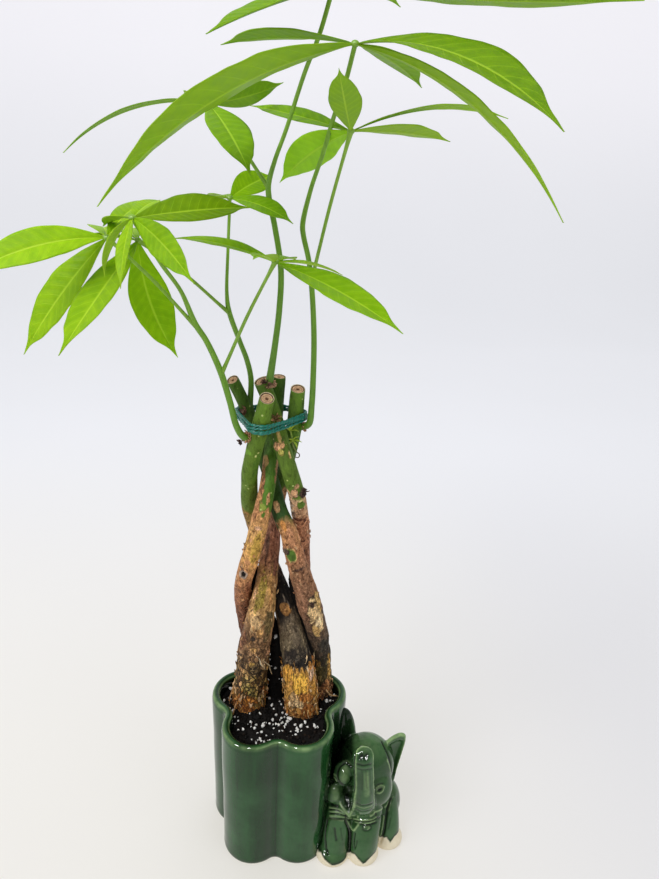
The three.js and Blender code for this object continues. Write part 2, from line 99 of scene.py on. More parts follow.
# Elephant limbs: x, y, z, radius
ELEPHANT_LIMBS = (
    ((50, -22, 50, 11), (46, -31, 28, 10.5), (43.5, -36, 0, 10)),
    ((68, -22, 50, 12), (66, -33, 28, 11.5), (65, -36, 0, 11)),
    ((80, -10, 30, 13), (83, -21, 14, 11), (84, -24, 0, 10.5)),
    ((63, -28, 46, 10.5), (62, -38, 56, 8.8), (60.5, -41.5, 80, 7.4), (58.6, -40, 100, 7.2)),
)

# Trunks from rooted foot to sawn top: x, y, z, radius in millimetres
TRUNKS = {
    "centre": (
        (16.6, 1.4, 72, 12), (16.6, 1.4, 101, 12.2), (15.5, 1, 117, 12), (12.8, 2.4, 142, 11),
        (9.4, 5.2, 158, 9.9), (4, 9.3, 181, 8.5), (-3, 14.4, 200, 7.1), (-11.3, 21.2, 221.5, 6),
        (-19.2, 21, 243, 5.6), (-22.6, 12, 265, 5.9), (-22.4, 1, 285, 5.6), (-21.4, -7, 300, 5.4),
        (-18.4, -12.5, 316, 5.4), (-14.5, -16.5, 334, 5.3), (-11.2, -18.5, 350, 4.7),
    ),
    "left": (
        (-22.8, 8, 72, 12), (-22.8, 8, 101, 12.2), (-21.3, 7, 123, 12.1), (-18.3, 2, 158, 11.4),
        (-15.2, -2, 183, 10), (-12.8, -3, 199, 8.9), (-11.4, -0.5, 209, 8.1),
        (-10.4, 4.2, 219, 7.4), (-9.2, 8.8, 230, 6.9), (-8.2, 13.8, 244, 6.3),
        (-6, 19.5, 263, 6.1), (-2, 21, 282, 5.6), (1.2, 15, 300, 5.5), (4.6, 7.5, 321, 5.2),
        (6.4, 4.5, 349, 4.8),
    ),
    "front": (
        (-10, 24.5, 72, 7), (-10, 24.5, 100, 7), (-16, 27, 123, 6.9), (-22, 27, 145, 6.8),
        (-25.8, 20, 170, 6.7), (-26.8, 9.5, 195, 6.3), (-26.7, 2, 208, 6.2), (-25.3, -4, 219, 6.2),
        (-20.6, -8, 239, 6.3), (-17.4, -9.5, 254, 6), (-14.2, -9.5, 270, 5.8),
        (-10.9, -6.5, 287, 5.3), (-9.2, 0.5, 302, 5.2), (-7.8, 8.5, 319, 5),
        (-6.4, 12, 336, 4.7), (-5.3, 12.5, 354, 4.4),
    ),
    "right": (
        (31.4, 16.4, 72, 7.2), (31.4, 16.4, 98, 7.3), (30.8, 18, 127, 7.6), (27, 12, 159, 7.8),
        (21.2, 1.5, 187, 8.3), (14.5, -6, 216, 8), (8.5, -9.5, 238, 6.8), (3.4, -6.5, 256, 5.9),
        (-2.9, 0, 268, 5.5), (-7.6, 8.3, 282, 5.1), (-13.3, 13.5, 298, 5.1), (-19.8, 13, 319, 4.8),
        (-25.2, 8.5, 335, 4.3), (-32.8, 4, 353.5, 4),
    ),
    "back": (
        (8, 30, 72, 7), (8, 30, 118, 7.1), (9.5, 28.8, 157, 6.8), (12.4, 23.3, 190, 6.4),
        (13, 15.5, 222, 6.1), (12.2, 11.5, 243, 5.9), (10.8, 6.5, 259, 5.7), (8, -2, 280, 5.5),
        (3.7, -9, 298, 5.5), (-0.9, -9.8, 313, 5.3), (-5.2, -4.6, 327, 5), (-10, -0.5, 341, 4.9),
        (-15.2, 0.5, 354.5, 5.2),
    ),
}

# Shoots. Stem: x, y, z, radius. Leaf: stalk's foot, hub, and leaflets as tip x, y, z, width,
# arch and roll, in millimetres and degrees, and how bright it is where it differs.
SHOOTS = {
    "left_shoot": (
        ((-18.5, -13.5, 323, 2.2), (-24.4, -17.8, 325.6, 2.1), (-28.3, -19.4, 332.5, 1.9),
         (-32, -20.5, 348, 1.8), (-37, -20, 365, 1.8), (-44.4, -22, 383, 1.6),
         (-49.5, -24, 392, 1.6), (-56, -28, 410, 1.1), (-64, -32, 423, 1.1),
         (-71.5, -38, 437.7, 1.1), (-75.6, -40, 445.2, 1.1)),
        (((-49.5, -24, 391), (-90, -34, 435.4), (
            (-146, -62, 419, 18, 16, -55, 1.15), (-140.3, -27, 373, 22, 6, -62),
            (-107, 19, 433, 17, 16, 0), (-78, 16, 452, 15, 14, 0))),
         ((-75, -39.6, 444.4), (-75.6, -40, 445.6), (
             (-88.6, -49, 418.9, 11, 25, 38), (-75, -73.1, 417.5, 9, 21, 31),
             (-40.2, -86, 422.7, 14, 10, 62), (-21.6, -12.5, 451.9, 24, 3, 29, 0.62),
             (-69, -6, 453, 12, 10, 0), (-95, -22, 440, 12, 14, 0))),
         ((-36.5, -20, 364), (-7.8, -22, 425.9), (
             (-66, 8, 433, 14, 10, -10), (-17, -56, 431, 13, 14, 0), (3, -2, 425.5, 11, 14, 0),
             (28.5, -12, 419.7, 11, 14, 0), (55, -68, 401, 22, 8, 15)))),
    ),
    "back_left_shoot": (
        ((-22.3, 9.2, 327, 2), (-22.7, 9.6, 335.5, 1.9), (-22.4, 12, 352, 1.7),
         (-24.9, 12.5, 363.6, 1.6), (-29, 12.5, 374.5, 1.5), (-35.4, 12, 393, 1.5),
         (-36.5, 12, 403, 1.1), (-35.7, 12, 426, 0.9), (-34.3, 12, 454.8, 0.9)),
        (((-35, 12, 391.5), (-81, -8, 432.4), (
            (-103.5, -78, 387, 22, 2, 4), (-60.8, -16.8, 371.7, 25, -20, 26, 1.15),
            (-132, 0, 427, 15, 14, 0), (-104, 37, 432, 14, 14, 0))),
         ((-34.4, 12, 453), (-34.3, 12, 455.2), (
             (-12, 34, 468, 18, 8, 35), (1, -16, 445.2, 14, 12, 25), (-60, 2, 451, 11, 12, 0),
             (-50, 46, 452, 12, 12, 0)))),
    ),
    "back_shoot": (
        ((-11.5, -0.3, 347, 2.4), (-10.4, 0, 356, 2.3), (-7.8, 1.5, 376, 1.9),
         (-5.7, 2.5, 397, 1.8), (-5.3, 3.5, 419, 1.7), (-9.1, 4.5, 441.5, 1.6),
         (-12.6, 5, 456.8, 1.6), (-12.9, 5, 463, 1.5), (-9.6, 3, 475.3, 1.2),
         (-4, -2, 489.7, 1.1), (4.8, -11, 515.2, 1.1), (11.1, -17, 530.4, 1.1),
         (16.4, -20, 548.3, 1.1)),
        (((-12.9, 5, 461.5), (-45.6, 14, 501.5), (
            (-114.9, -11, 473.5, 13, 24, 3), (-6.7, 23, 514.4, 15, -9, -45),
            (-19, -42.5, 467.3, 21, 8, 6),
            (-62, 60, 508, 16, 12, 0), (-38, 70, 512, 16, 12, 0))),
         ((16, -19.6, 547), (16.4, -20, 548.8), (
             (-36.4, -60, 520.5, 22, 5, -6), (52, 12, 550, 15, 14, 0),
             (136, -78, 538.2, 20, -4, -11),
             (11, -75, 566, 17, 14, 0), (4, 49, 568, 19, 14, 0), (-30, -1, 553, 15, 14, 0)))),
    ),
    "right_shoot": (
        ((9, 4.2, 324.5, 2.2), (13.7, 1, 328, 2.1), (15, 1.4, 340, 1.9), (15.3, 3.8, 356, 1.8),
         (14.8, 5, 381.5, 1.7), (12.6, 5, 408, 1.6), (10.3, 5, 424, 1.5), (6.7, 4, 438, 1.5),
         (6.1, 3, 443.3, 1.5), (9.8, -5, 462, 1.2), (14.9, -14, 478.5, 1.1),
         (19.2, -23, 494.8, 1.1), (23.4, -32, 508.5, 1.1), (26.4, -42, 522.7, 1.1)),
        (((12, 5, 413), (27.5, -30, 489.1), (
            (-25.8, 44, 504.4, 11, 2, -33), (18.3, -73.2, 509, 15, -3, 4, 1.05),
            (-7.4, 25, 464.5, 20, 10, 35, 1.9), (82.5, 3, 489.2, 17, 6, -14),
            (118.8, 27.3, 503.9, 9, 15, -13))),
         ((26, -41, 521.5), (26.4, -42, 523.2), (
             (-82.4, -72.9, 451.8, 34, 18, 18), (-36.9, -0.4, 526.5, 22, 8, 2),
             (100, -113, 487.7, 30, 21, 18, 0.76), (110.9, -99.5, 455.7, 13, 21, -25),
             (64.2, -2, 512.9, 20, 11, 4)))),
    ),
}

# Leaf blades: veins on each side, how far and how roundly they bend to the tip, and how far
# those of one side stand ahead of the other's
VEIN_PAIRS = 13
VEIN_BEND = 0.11
VEIN_CURVE = 1.25
VEIN_STAGGER = 0.45
# Half axes of the knob that a leaf's leaflets grow from
HUB_AXES = (1.9, 1.9, 1.5)

# Tie, in millimetres: the plies wind round each strand, one turn for each 2 pi pitches
TIE_LEVEL = 332
TIE_TURNS = 4
TIE_STRAND_RADIUS = 0.75
TIE_CLEARANCE = 0.5
TIE_HALF_HEIGHT = 2.25
TIE_STEPS = 259
PLY_RADIUS = 0.62
PLY_OFFSET = 0.3
PLY_PITCH = 1.3


def linear(colour):
    """A six-digit hex colour as linear red, green and blue."""
    parts = np.array([int(colour[i:i + 2], 16) / 255 for i in (0, 2, 4)])
    return np.where(parts <= 0.04045, parts / 12.92, ((parts + 0.055) / 1.055) ** 2.4)


def rgba(colour):
    return (*linear(colour), 1.0)


def smoothstep(low, high, value):
    """0 below low, 1 above high, and a smooth cubic between."""
    share = np.clip((value - low) / (high - low), 0, 1)
    return share * share * (3 - 2 * share)


def noise(points, size, seed=0):
    """Smooth noise from -1 to 1: random values on a cubic lattice of the given cell size,
    blended by the cubic smooth step along each axis."""
    table = np.random.default_rng(seed).uniform(-1, 1, NOISE_VALUES)
    cell = np.asarray(points, float) / size
    low = np.floor(cell).astype(np.int64)
    share = cell - low
    share = share * share * (3 - 2 * share)
    total = np.zeros(len(cell))
    for corner in range(8):
        offset = np.array([corner & 1, corner >> 1 & 1, corner >> 2 & 1])
        at = low + offset
        key = np.bitwise_xor.reduce(at * NOISE_PRIMES, axis=1) & (NOISE_VALUES - 1)
        weight = np.prod(np.where(offset, share, 1 - share), axis=1)
        total += weight * table[key]
    return total


def layered(points, size, seed=0, layers=3):
    """Noise added to itself at half the size and half the height, as often as layers says."""
    return sum(noise(points, size / 2 ** k, seed + k) / 2 ** k for k in range(layers))


def smooth_curve(points, step):
    """A centripetal Catmull-Rom curve through the points, sampled at about equal steps.
    Each span is the cubic whose end slopes come from its neighbours, weighted by the square
    roots of the spans' lengths. Columns past the third, such as a radius, go along."""
    p = np.asarray(points, float)
    ends = np.vstack([2 * p[0] - p[1], p, 2 * p[-1] - p[-2]])
    root = np.sqrt(np.linalg.norm(np.diff(ends[:, :3], axis=0), axis=1))
    t = np.linspace(0, 1, 33)[:-1, None]
    spans = []
    for k in range(len(p) - 1):
        a, b, c, d = ends[k:k + 4]
        before, here, after = root[k:k + 3]
        leave = ((b - a) / before - (c - a) / (before + here) + (c - b) / here) * here
        reach = ((c - b) / here - (d - b) / (here + after) + (d - c) / after) * here
        spans.append(b + t * (leave + t * ((3 * (c - b) - 2 * leave - reach)
                                           + t * (2 * (b - c) + leave + reach))))
    fine = np.vstack([*spans, p[-1:]])
    run = np.concatenate([[0], np.cumsum(np.linalg.norm(np.diff(fine[:, :3], axis=0), axis=1))])
    stations = np.linspace(0, run[-1], max(int(run[-1] / step), 3) + 1)
    return np.stack([np.interp(stations, run, column) for column in fine.T], axis=1), stations


def across_path(path, facing=(0, -1, 0)):
    """Two unit directions square to a path at each of its points: the first is `facing` made
    square to the path, the second is the path's direction crossed with the first."""
    facing = np.array(facing, float)
    tangent = np.gradient(path, axis=0)
    tangent /= np.linalg.norm(tangent, axis=1, keepdims=True)
    first = facing - (tangent @ facing)[:, None] * tangent
    first /= np.linalg.norm(first, axis=1, keepdims=True)
    return tangent, first, np.cross(tangent, first)


def unit_ball(rows, columns):
    """A ball of radius 1 from its latitude and longitude: the given rows between two rows that
    lie on the poles."""
    lat = np.linspace(-math.pi / 2, math.pi / 2, rows + 2)[:, None]
    lon = np.linspace(0, 2 * math.pi, columns, endpoint=False)[None]
    return np.stack([np.cos(lat) * np.cos(lon), np.cos(lat) * np.sin(lon),
                     np.sin(lat) + 0 * lon], axis=2)


def spun(first, second, angle):
    """The directions at some angles from `first` towards `second`, a row for each point."""
    return first[:, None] * np.cos(angle)[:, None] + second[:, None] * np.sin(angle)[:, None]


def full_turn(count):
    """The angles of that many even steps round a circle."""
    return 2 * np.pi * np.arange(count) / count


class Surface:
    """Grids of points in millimetres, with their faces, colours and map places, that become one
    mesh."""

    def __init__(self):
        self.points, self.faces, self.maps, self.tints = [], [], [], []
        self.count = 0

    def add(self, points, faces, maps, tints):
        self.points.append(points)
        self.faces.append(np.where(faces >= 0, faces + self.count, -1))
        self.maps.append(maps)
        self.tints.append(np.broadcast_to(tints, (len(points), 3)))
        self.count += len(points)

    def grid(self, points, u=None, v=None, tints=(1, 1, 1), poles=None):
        """Rows of points, row by row. With poles each row closes on itself and the two poles
        close the ends; u then has one value more than a row has points. Without u and v the
        map gives the shares across and along."""
        rows, columns = points.shape[:2]
        wrap = poles is not None
        u = np.linspace(0, 1, columns + wrap) if u is None else u
        v = np.linspace(0, 1, rows) if v is None else v
        i, j = np.meshgrid(np.arange(rows - 1), np.arange(columns - (not wrap)), indexing="ij")
        i, j = i.ravel(), j.ravel()
        after = (j + 1) % columns
        faces = np.stack([i * columns + j, i * columns + after,
                          (i + 1) * columns + after, (i + 1) * columns + j], axis=1)
        maps = np.stack([np.stack([u[j], v[i]], 1), np.stack([u[j + 1], v[i]], 1),
                         np.stack([u[j + 1], v[i + 1]], 1), np.stack([u[j], v[i + 1]], 1)], axis=1)
        flat = points.reshape(-1, 3)
        tints = np.asarray(tints, float)
        if wrap:
            j = np.arange(columns)
            after = (j + 1) % columns
            first, last = len(flat), len(flat) + 1
            none = np.full(columns, -1)
            top = (rows - 1) * columns
            faces = np.vstack([
                faces,
                np.stack([np.full(columns, first), after, j, none], axis=1),
                np.stack([np.full(columns, last), top + j, top + after, none], axis=1)])
            for row, order in ((0, (j, j + 1, j)), (rows - 1, (j, j, j + 1))):
                ends = np.stack([np.stack([u[k], np.full(columns, v[row])], 1)
                                 for k in (*order, j)], axis=1)
                maps = np.vstack([maps, ends])
            flat = np.vstack([flat, poles])
            if tints.ndim == 2:
                tints = np.vstack([tints, tints[:1], tints[-1:]])
        self.add(flat, faces, maps, tints)

    def tube(self, path, radius, around, tints=(1, 1, 1), facing=(0, -1, 0), length=None):
        """Rings of points at a radius from a path, closed at both ends by a rounded cap."""
        tangent, first, second = across_path(path, facing)
        radius = np.broadcast_to(radius, (len(path),))
        points = path[:, None] + spun(first, second, full_turn(around)) * radius[:, None, None]
        cap = 0.35
        poles = np.stack([path[0] - tangent[0] * radius[0] * cap,
                          path[-1] + tangent[-1] * radius[-1] * cap])
        self.grid(points, v=length, tints=tints, poles=poles)

    def ball(self, centre, half_axes, tint=(1, 1, 1), tilt=0, rows=26, columns=36):
        """An ellipsoid, turned about Y by degrees."""
        turned = np.array(Matrix.Rotation(math.radians(tilt), 3, "Y"))
        placed = (unit_ball(rows, columns) * half_axes) @ turned.T + centre
        self.grid(placed[1:-1], tints=tint, poles=np.stack([placed[0, 0], placed[-1, 0]]))

    def mesh(self, name, unit=MM):
        """The collected grids as a mesh with a map of places, a tint and smooth faces. One step
        of the grids is as long as the unit says, in metres."""
        points = np.vstack(self.points) * unit
        faces = np.vstack(self.faces)
        kept = faces >= 0
        corners = faces[kept]
        totals = kept.sum(axis=1)
        mesh = bpy.data.meshes.new(name)
        mesh.vertices.add(len(points))
        mesh.vertices.foreach_set("co", points.ravel())
        mesh.loops.add(len(corners))
        mesh.loops.foreach_set("vertex_index", corners.astype(np.int32))
        mesh.polygons.add(len(faces))
        starts = np.concatenate([[0], np.cumsum(totals)[:-1]])
        mesh.polygons.foreach_set("loop_start", starts.astype(np.int32))
        mesh.polygons.foreach_set("loop_total", totals.astype(np.int32))
        places = mesh.uv_layers.new(name="Places")
        places.data.foreach_set("uv", np.concatenate(self.maps)[kept].ravel())
        set_tint(mesh, np.vstack(self.tints))
        mesh.update(calc_edges=True)
        mesh.shade_smooth()
        return mesh


def set_tint(mesh, colours, name="Tint"):
    """Puts linear colours, one for each point, into a colour attribute of the mesh."""
    layer = mesh.attributes.get(name) or mesh.attributes.new(name, "FLOAT_COLOR", "POINT")
    full = np.ones((len(mesh.vertices), 4), np.float32)
    full[:, :3] = colours
    layer.data.foreach_set("color", full.ravel())


def add_piece(name, mesh, finish, slot, *nodes):
    """A shown object for a mesh, riding on the root body, in place of the named nodes."""
    piece = bpy.data.objects.new(name, mesh)
    bpy.context.scene.collection.objects.link(piece)
    mesh.materials.append(finish)
    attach(piece, "root")
    if nodes:
        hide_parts(*nodes)
    return piece


def read_points(mesh, field):
    """A mesh's points ("co") or their normals ("normal")."""
    values = np.empty(len(mesh.vertices) * 3, np.float32)
    mesh.vertices.foreach_get(field, values)
    return values.reshape(-1, 3).astype(float)


class Nodes:
    """Adds and links the nodes of a material or a node group."""

    def __init__(self, tree):
        self.tree = tree

    def add(self, kind, inputs=(), **settings):
        node = self.tree.nodes.new(kind)
        for name, value in settings.items():
            setattr(node, name, value)
        for name, value in dict(inputs).items():
            self.feed(node.inputs[name], value)
        return node

    def feed(self, socket, value):
        """Links another socket into a socket, or sets it to a value."""
        if isinstance(value, bpy.types.NodeSocket):
            self.tree.links.new(value, socket)
        else:
            socket.default_value = value

    def maths(self, operation, first, second=0.0):
        return self.add("ShaderNodeMath", {0: first, 1: second}, operation=operation).outputs[0]

    def times(self, first, second):
        return self.maths("MULTIPLY", first, second)

    def plus(self, first, second):
        return self.maths("ADD", first, second)

    def minus(self, first, second):
        return self.maths("SUBTRACT", first, second)

    def tinted(self, colour, shares):
        """A colour with its red, green and blue multiplied by three shares."""
        return self.mix(1.0, colour, (*shares, 1.0), "MULTIPLY")

    def mix(self, factor, first, second, blend="MIX"):
        node = self.add("ShaderNodeMix", data_type="RGBA", blend_type=blend)
        for place, value in ((0, factor), (6, first), (7, second)):
            self.feed(node.inputs[place], value)
        return node.outputs[2]

    def over(self, base, *layers):
        """Colours laid over a base one after another, each by its factor."""
        for factor, colour in layers:
            base = self.mix(factor, base, colour)
        return base

    def ramp(self, factor, low, high, start=0.0, end=1.0):
        """A value carried from low..high to start..end with smooth ends."""
        return self.add("ShaderNodeMapRange", {0: factor, 1: low, 2: high, 3: start, 4: end},
                        interpolation_type="SMOOTHSTEP").outputs[0]

    def noise(self, vector, scale, detail=3.0, roughness=0.55):
        return self.add("ShaderNodeTexNoise", {
            "Vector": vector, "Scale": scale, "Detail": detail, "Roughness": roughness,
        }).outputs[0]

    def stretched(self, vector, scale):
        return self.add("ShaderNodeMapping", {"Vector": vector, "Scale": scale}).outputs[0]


def start_material(name):
    """A new material's nodes, and the place in the piece's own frame."""
    finish = bpy.data.materials.new(name)
    finish.use_nodes = True
    nodes = Nodes(finish.node_tree)
    nodes.finish = finish
    return nodes, nodes.add("ShaderNodeTexCoord").outputs["Object"]


def finish_with(nodes, colour, roughness, height=None, strength=0.3, distance=0.0005,
                **constants):
    """Links colour, roughness and bump into the surface, sets its constant sockets and gives
    the finished material."""
    surface = next(n for n in nodes.tree.nodes if n.type == "BSDF_PRINCIPLED")
    for name, value in (("Base Color", colour), ("Roughness", roughness)):
        nodes.feed(surface.inputs[name], value)
    if height is not None:
        bump = nodes.add("ShaderNodeBump", {
            "Height": height, "Strength": strength, "Distance": distance})
        nodes.feed(surface.inputs["Normal"], bump.outputs[0])
    for name, value in constants.items():
        nodes.feed(surface.inputs[name.replace("_", " ")], value)
    return nodes.finish


def shared_group(name, inputs, output, build):
    """A node group that is made once: `build` gets its nodes and inputs, and gives the number
    that it puts out."""
    group = bpy.data.node_groups.get(name)
    if group:
        return group
    group = bpy.data.node_groups.new(name, "ShaderNodeTree")
    for socket, kind in inputs:
        group.interface.new_socket(socket, in_out="INPUT", socket_type=kind)
    group.interface.new_socket(output, in_out="OUTPUT", socket_type="NodeSocketFloat")
    nodes = Nodes(group)
    value = build(nodes, nodes.add("NodeGroupInput").outputs)
    group.links.new(value, nodes.add("NodeGroupOutput").inputs[output])
    return group


def build_grain(nodes, ins):
    """Fine uneven grain: two sizes of noise at a place, as a mask."""
    coarse = nodes.noise(ins["Place"], ins["Scale"], 4.0, 0.6)
    fine = nodes.noise(ins["Place"], nodes.times(ins["Scale"], 5.3))
    return nodes.plus(nodes.times(coarse, 0.65), nodes.times(fine, 0.35))


def build_specks(nodes, ins):
    """Scattered small round specks as a mask: near the middles of random cells."""
    cells = nodes.add("ShaderNodeTexVoronoi", {"Vector": ins["Place"], "Scale": ins["Scale"]})
    inside = nodes.add("ShaderNodeMapRange", {
        0: cells.outputs["Distance"], 1: ins["Size"], 2: 0.0, 3: 0.0, 4: 1.0})
    return inside.outputs[0]


PLACE_AND_SCALE = (("Place", "NodeSocketVector"), ("Scale", "NodeSocketFloat"))


def grain(nodes, place, scale):
    group = shared_group("Fine grain", PLACE_AND_SCALE, "Grain", build_grain)
    return nodes.add("ShaderNodeGroup", {"Place": place, "Scale": scale},
                     node_tree=group).outputs["Grain"]


def specks(nodes, place, scale, size):
    group = shared_group("Specks", (*PLACE_AND_SCALE, ("Size", "NodeSocketFloat")), "Specks",
                         build_specks)
    return nodes.add("ShaderNodeGroup", {"Place": place, "Scale": scale, "Size": size},
                     node_tree=group).outputs["Specks"]


def tint_of(nodes, name="Tint"):
    return nodes.add("ShaderNodeAttribute", attribute_name=name).outputs["Color"]


def map_of(nodes):
    """The two numbers of a piece's own map."""
    spot = nodes.add("ShaderNodeUVMap", uv_map="Places").outputs[0]
    parts = nodes.add("ShaderNodeSeparateXYZ", {0: spot}).outputs
    return parts[0], parts[1]


def glaze_material(settings):
    """Runny green glaze: softly streaked downwards, darker where it pools and where shade is
    painted, thin and yellowish on edges, paler where light is painted, with dark pinholes (the Tint
    attribute holds thin glaze with painted light, pooling glaze with painted shade, and bare clay)."""
    nodes, place = start_material("green_glaze")
    parts = nodes.add("ShaderNodeSeparateColor", {"Color": tint_of(nodes)})
    thin_glaze_and_light, pooling_and_shade, bare = (parts.outputs[i] for i in range(3))
    streaks = nodes.noise(nodes.stretched(place, (1.0, 1.0, 0.16)), 90.0, 4.0, 0.6)
    cloud = nodes.ramp(nodes.noise(place, 30.0, 4.0), 0.42, 0.72)
    broken = nodes.ramp(nodes.noise(place, 260.0, 3.0), 0.25, 0.6, 0.55, 1.0)
    pits = specks(nodes, place, 330.0, 0.13)
    clay = nodes.mix(grain(nodes, place, 300.0), rgba("f0e8d4"), rgba("dacba8"))
    colour = nodes.over(
        settings.glaze_dark,
        (nodes.ramp(streaks, 0.3, 0.7, 0.25, 1.0), settings.glaze),
        (nodes.times(cloud, 0.45), settings.glaze_light),
        # Thin glaze on edges, and painted light on the elephant's upward faces
        (nodes.times(thin_glaze_and_light, broken), settings.glaze_thin_and_lit),
        # Painted shade and pooling glaze, then pinholes and bare clay
        (pooling_and_shade, rgba("040d06")), (nodes.times(pits, 0.6), rgba("050c08")), (bare, clay))
    rough = nodes.ramp(nodes.noise(place, 35.0), 0.3, 0.7, 0.05, 0.11)
    rough = nodes.plus(rough, nodes.times(bare, 0.6))
    height = nodes.plus(nodes.noise(place, 90.0, 2.0), nodes.times(pits, -0.4))
    return finish_with(nodes, colour, rough, height, 0.1, 0.0006, Specular_IOR_Level=0.34)


def soil_material(settings):
    """Damp dark mix: near black with brown grains."""
    nodes, place = start_material("potting_mix")
    fine = grain(nodes, place, 700.0)
    colour = nodes.mix(fine, settings.soil, settings.soil_light)
    colour = nodes.mix(1.0, colour, tint_of(nodes), "MULTIPLY")
    rough = nodes.ramp(fine, 0.3, 0.7, 0.6, 0.95)
    return finish_with(nodes, colour, rough, fine, 0.8, 0.0008, Specular_IOR_Level=0.12)


def perlite_material(settings):
    """Chalky white grains with faint grey pits."""
    nodes, place = start_material("perlite")
    fine = grain(nodes, place, 900.0)
    colour = nodes.mix(nodes.ramp(fine, 0.3, 0.6), rgba("d2d0c8"), settings.perlite)
    return finish_with(nodes, colour, 0.9, fine, 0.5, 0.0004)


def bark_material(settings):
    """Bark: the painted tint. The Wear attribute says how it has aged: red, split into flakes,
    each paler or darker, with dark cracks and pale curled edges; green, frayed into straws that
    run along the trunk; blue, brown and mottled instead of green with pale dots."""
    nodes, place = start_material("peeling_bark")
    wear = nodes.add("ShaderNodeSeparateColor", {"Color": tint_of(nodes, "Wear")})
    flaky, frayed, brown = (wear.outputs[k] for k in range(3))
    tint = tint_of(nodes)
    swirl = nodes.add("ShaderNodeTexNoise", {"Vector": place, "Scale": 210.0, "Detail": 3.0})
    shifted = nodes.add("ShaderNodeVectorMath", {0: swirl.outputs["Color"], 1: (0.0045,) * 3},
                        operation="MULTIPLY").outputs[0]
    warped = nodes.add("ShaderNodeVectorMath", {0: place, 1: shifted}).outputs[0]
    along = nodes.stretched(warped, (1.0, 1.0, 0.55))
    flakes = nodes.add("ShaderNodeTexVoronoi", {"Vector": along, "Scale": 430.0})
    shade = nodes.add("ShaderNodeSeparateColor", {"Color": flakes.outputs["Color"]}).outputs[0]
    edges = nodes.add("ShaderNodeTexVoronoi", {"Vector": along, "Scale": 430.0},
                      feature="DISTANCE_TO_EDGE").outputs["Distance"]
    crack = nodes.ramp(edges, 0.16, 0.03)
    curl = nodes.times(nodes.ramp(edges, 0.4, 0.18), nodes.ramp(shade, 0.55, 0.85))
    fibre = grain(nodes, nodes.stretched(place, (1.0, 1.0, 0.3)), 380.0)
    straw = nodes.noise(nodes.stretched(warped, (1.0, 1.0, 0.09)), 850.0, 3.0, 0.6)
    mottle = nodes.noise(nodes.stretched(place, (1.0, 1.0, 0.62)), 640.0, 4.0, 0.72)
    patchy = nodes.noise(nodes.stretched(place, (1.0, 1.0, 0.5)), 170.0, 3.0, 0.6)
    dark = nodes.tinted(tint, (0.24, 0.19, 0.16))
    light = nodes.tinted(tint, (1.6, 1.55, 1.5))
    light = nodes.mix(brown, light, nodes.mix(1.0, light, (0.085, 0.066, 0.045, 1.0), "ADD"))
    dots = nodes.times(specks(nodes, place, 150.0, 0.14), nodes.minus(1.0, brown))
    colour = nodes.over(
        dark,
        (nodes.ramp(fibre, 0.36, 0.5, 0.45, 1.0), tint),
        (nodes.ramp(fibre, 0.52, 0.66, 0.0, 0.6), light),
        (nodes.times(brown, nodes.ramp(patchy, 0.5, 0.34, 0.0, 0.55)), dark),
        (nodes.times(brown, nodes.ramp(mottle, 0.47, 0.37, 0.0, 0.95)), dark),
        (nodes.times(brown, nodes.ramp(mottle, 0.54, 0.63, 0.0, 0.95)), light),
        (nodes.ramp(dots, 0.15, 0.5, 0.0, 0.75), rgba("c3cf7e")))
    uneven = nodes.over(dark, (nodes.ramp(shade, 0.1, 0.75), colour), (curl, light),
                        (crack, rgba("0a0705")))
    colour = nodes.mix(flaky, colour, uneven)
    straws = nodes.over(dark, (nodes.ramp(straw, 0.36, 0.5), colour),
                        (nodes.ramp(straw, 0.52, 0.64), light))
    colour = nodes.mix(frayed, colour, straws)
    rough = nodes.ramp(fibre, 0.3, 0.7, 0.85, 0.55)
    height = nodes.plus(fibre, nodes.times(mottle, brown))
    split = nodes.minus(shade, nodes.times(crack, 1.5))
    height = nodes.plus(height, nodes.times(flaky, split))
    height = nodes.plus(height, nodes.times(frayed, nodes.times(straw, 2.0)))
    return finish_with(nodes, colour, rough, height, 0.9, 0.0009, Specular_IOR_Level=0.22)


def stem_material(settings):
    """Green shoot: the painted tint with fine lengthwise streaks and a slight sheen."""
    nodes, place = start_material("green_stem")
    along = nodes.stretched(place, (1.0, 1.0, 0.15))
    fibre = grain(nodes, along, 700.0)
    tint = tint_of(nodes)
    colour = nodes.mix(nodes.ramp(fibre, 0.35, 0.65),
                       nodes.tinted(tint, (0.72, 0.75, 0.6)), tint)
    return finish_with(nodes, colour, 0.42, fibre, 0.25, 0.0003, Subsurface_Weight=0.08,
                       Subsurface_Radius=(0.004, 0.006, 0.001), Subsurface_Scale=0.3)


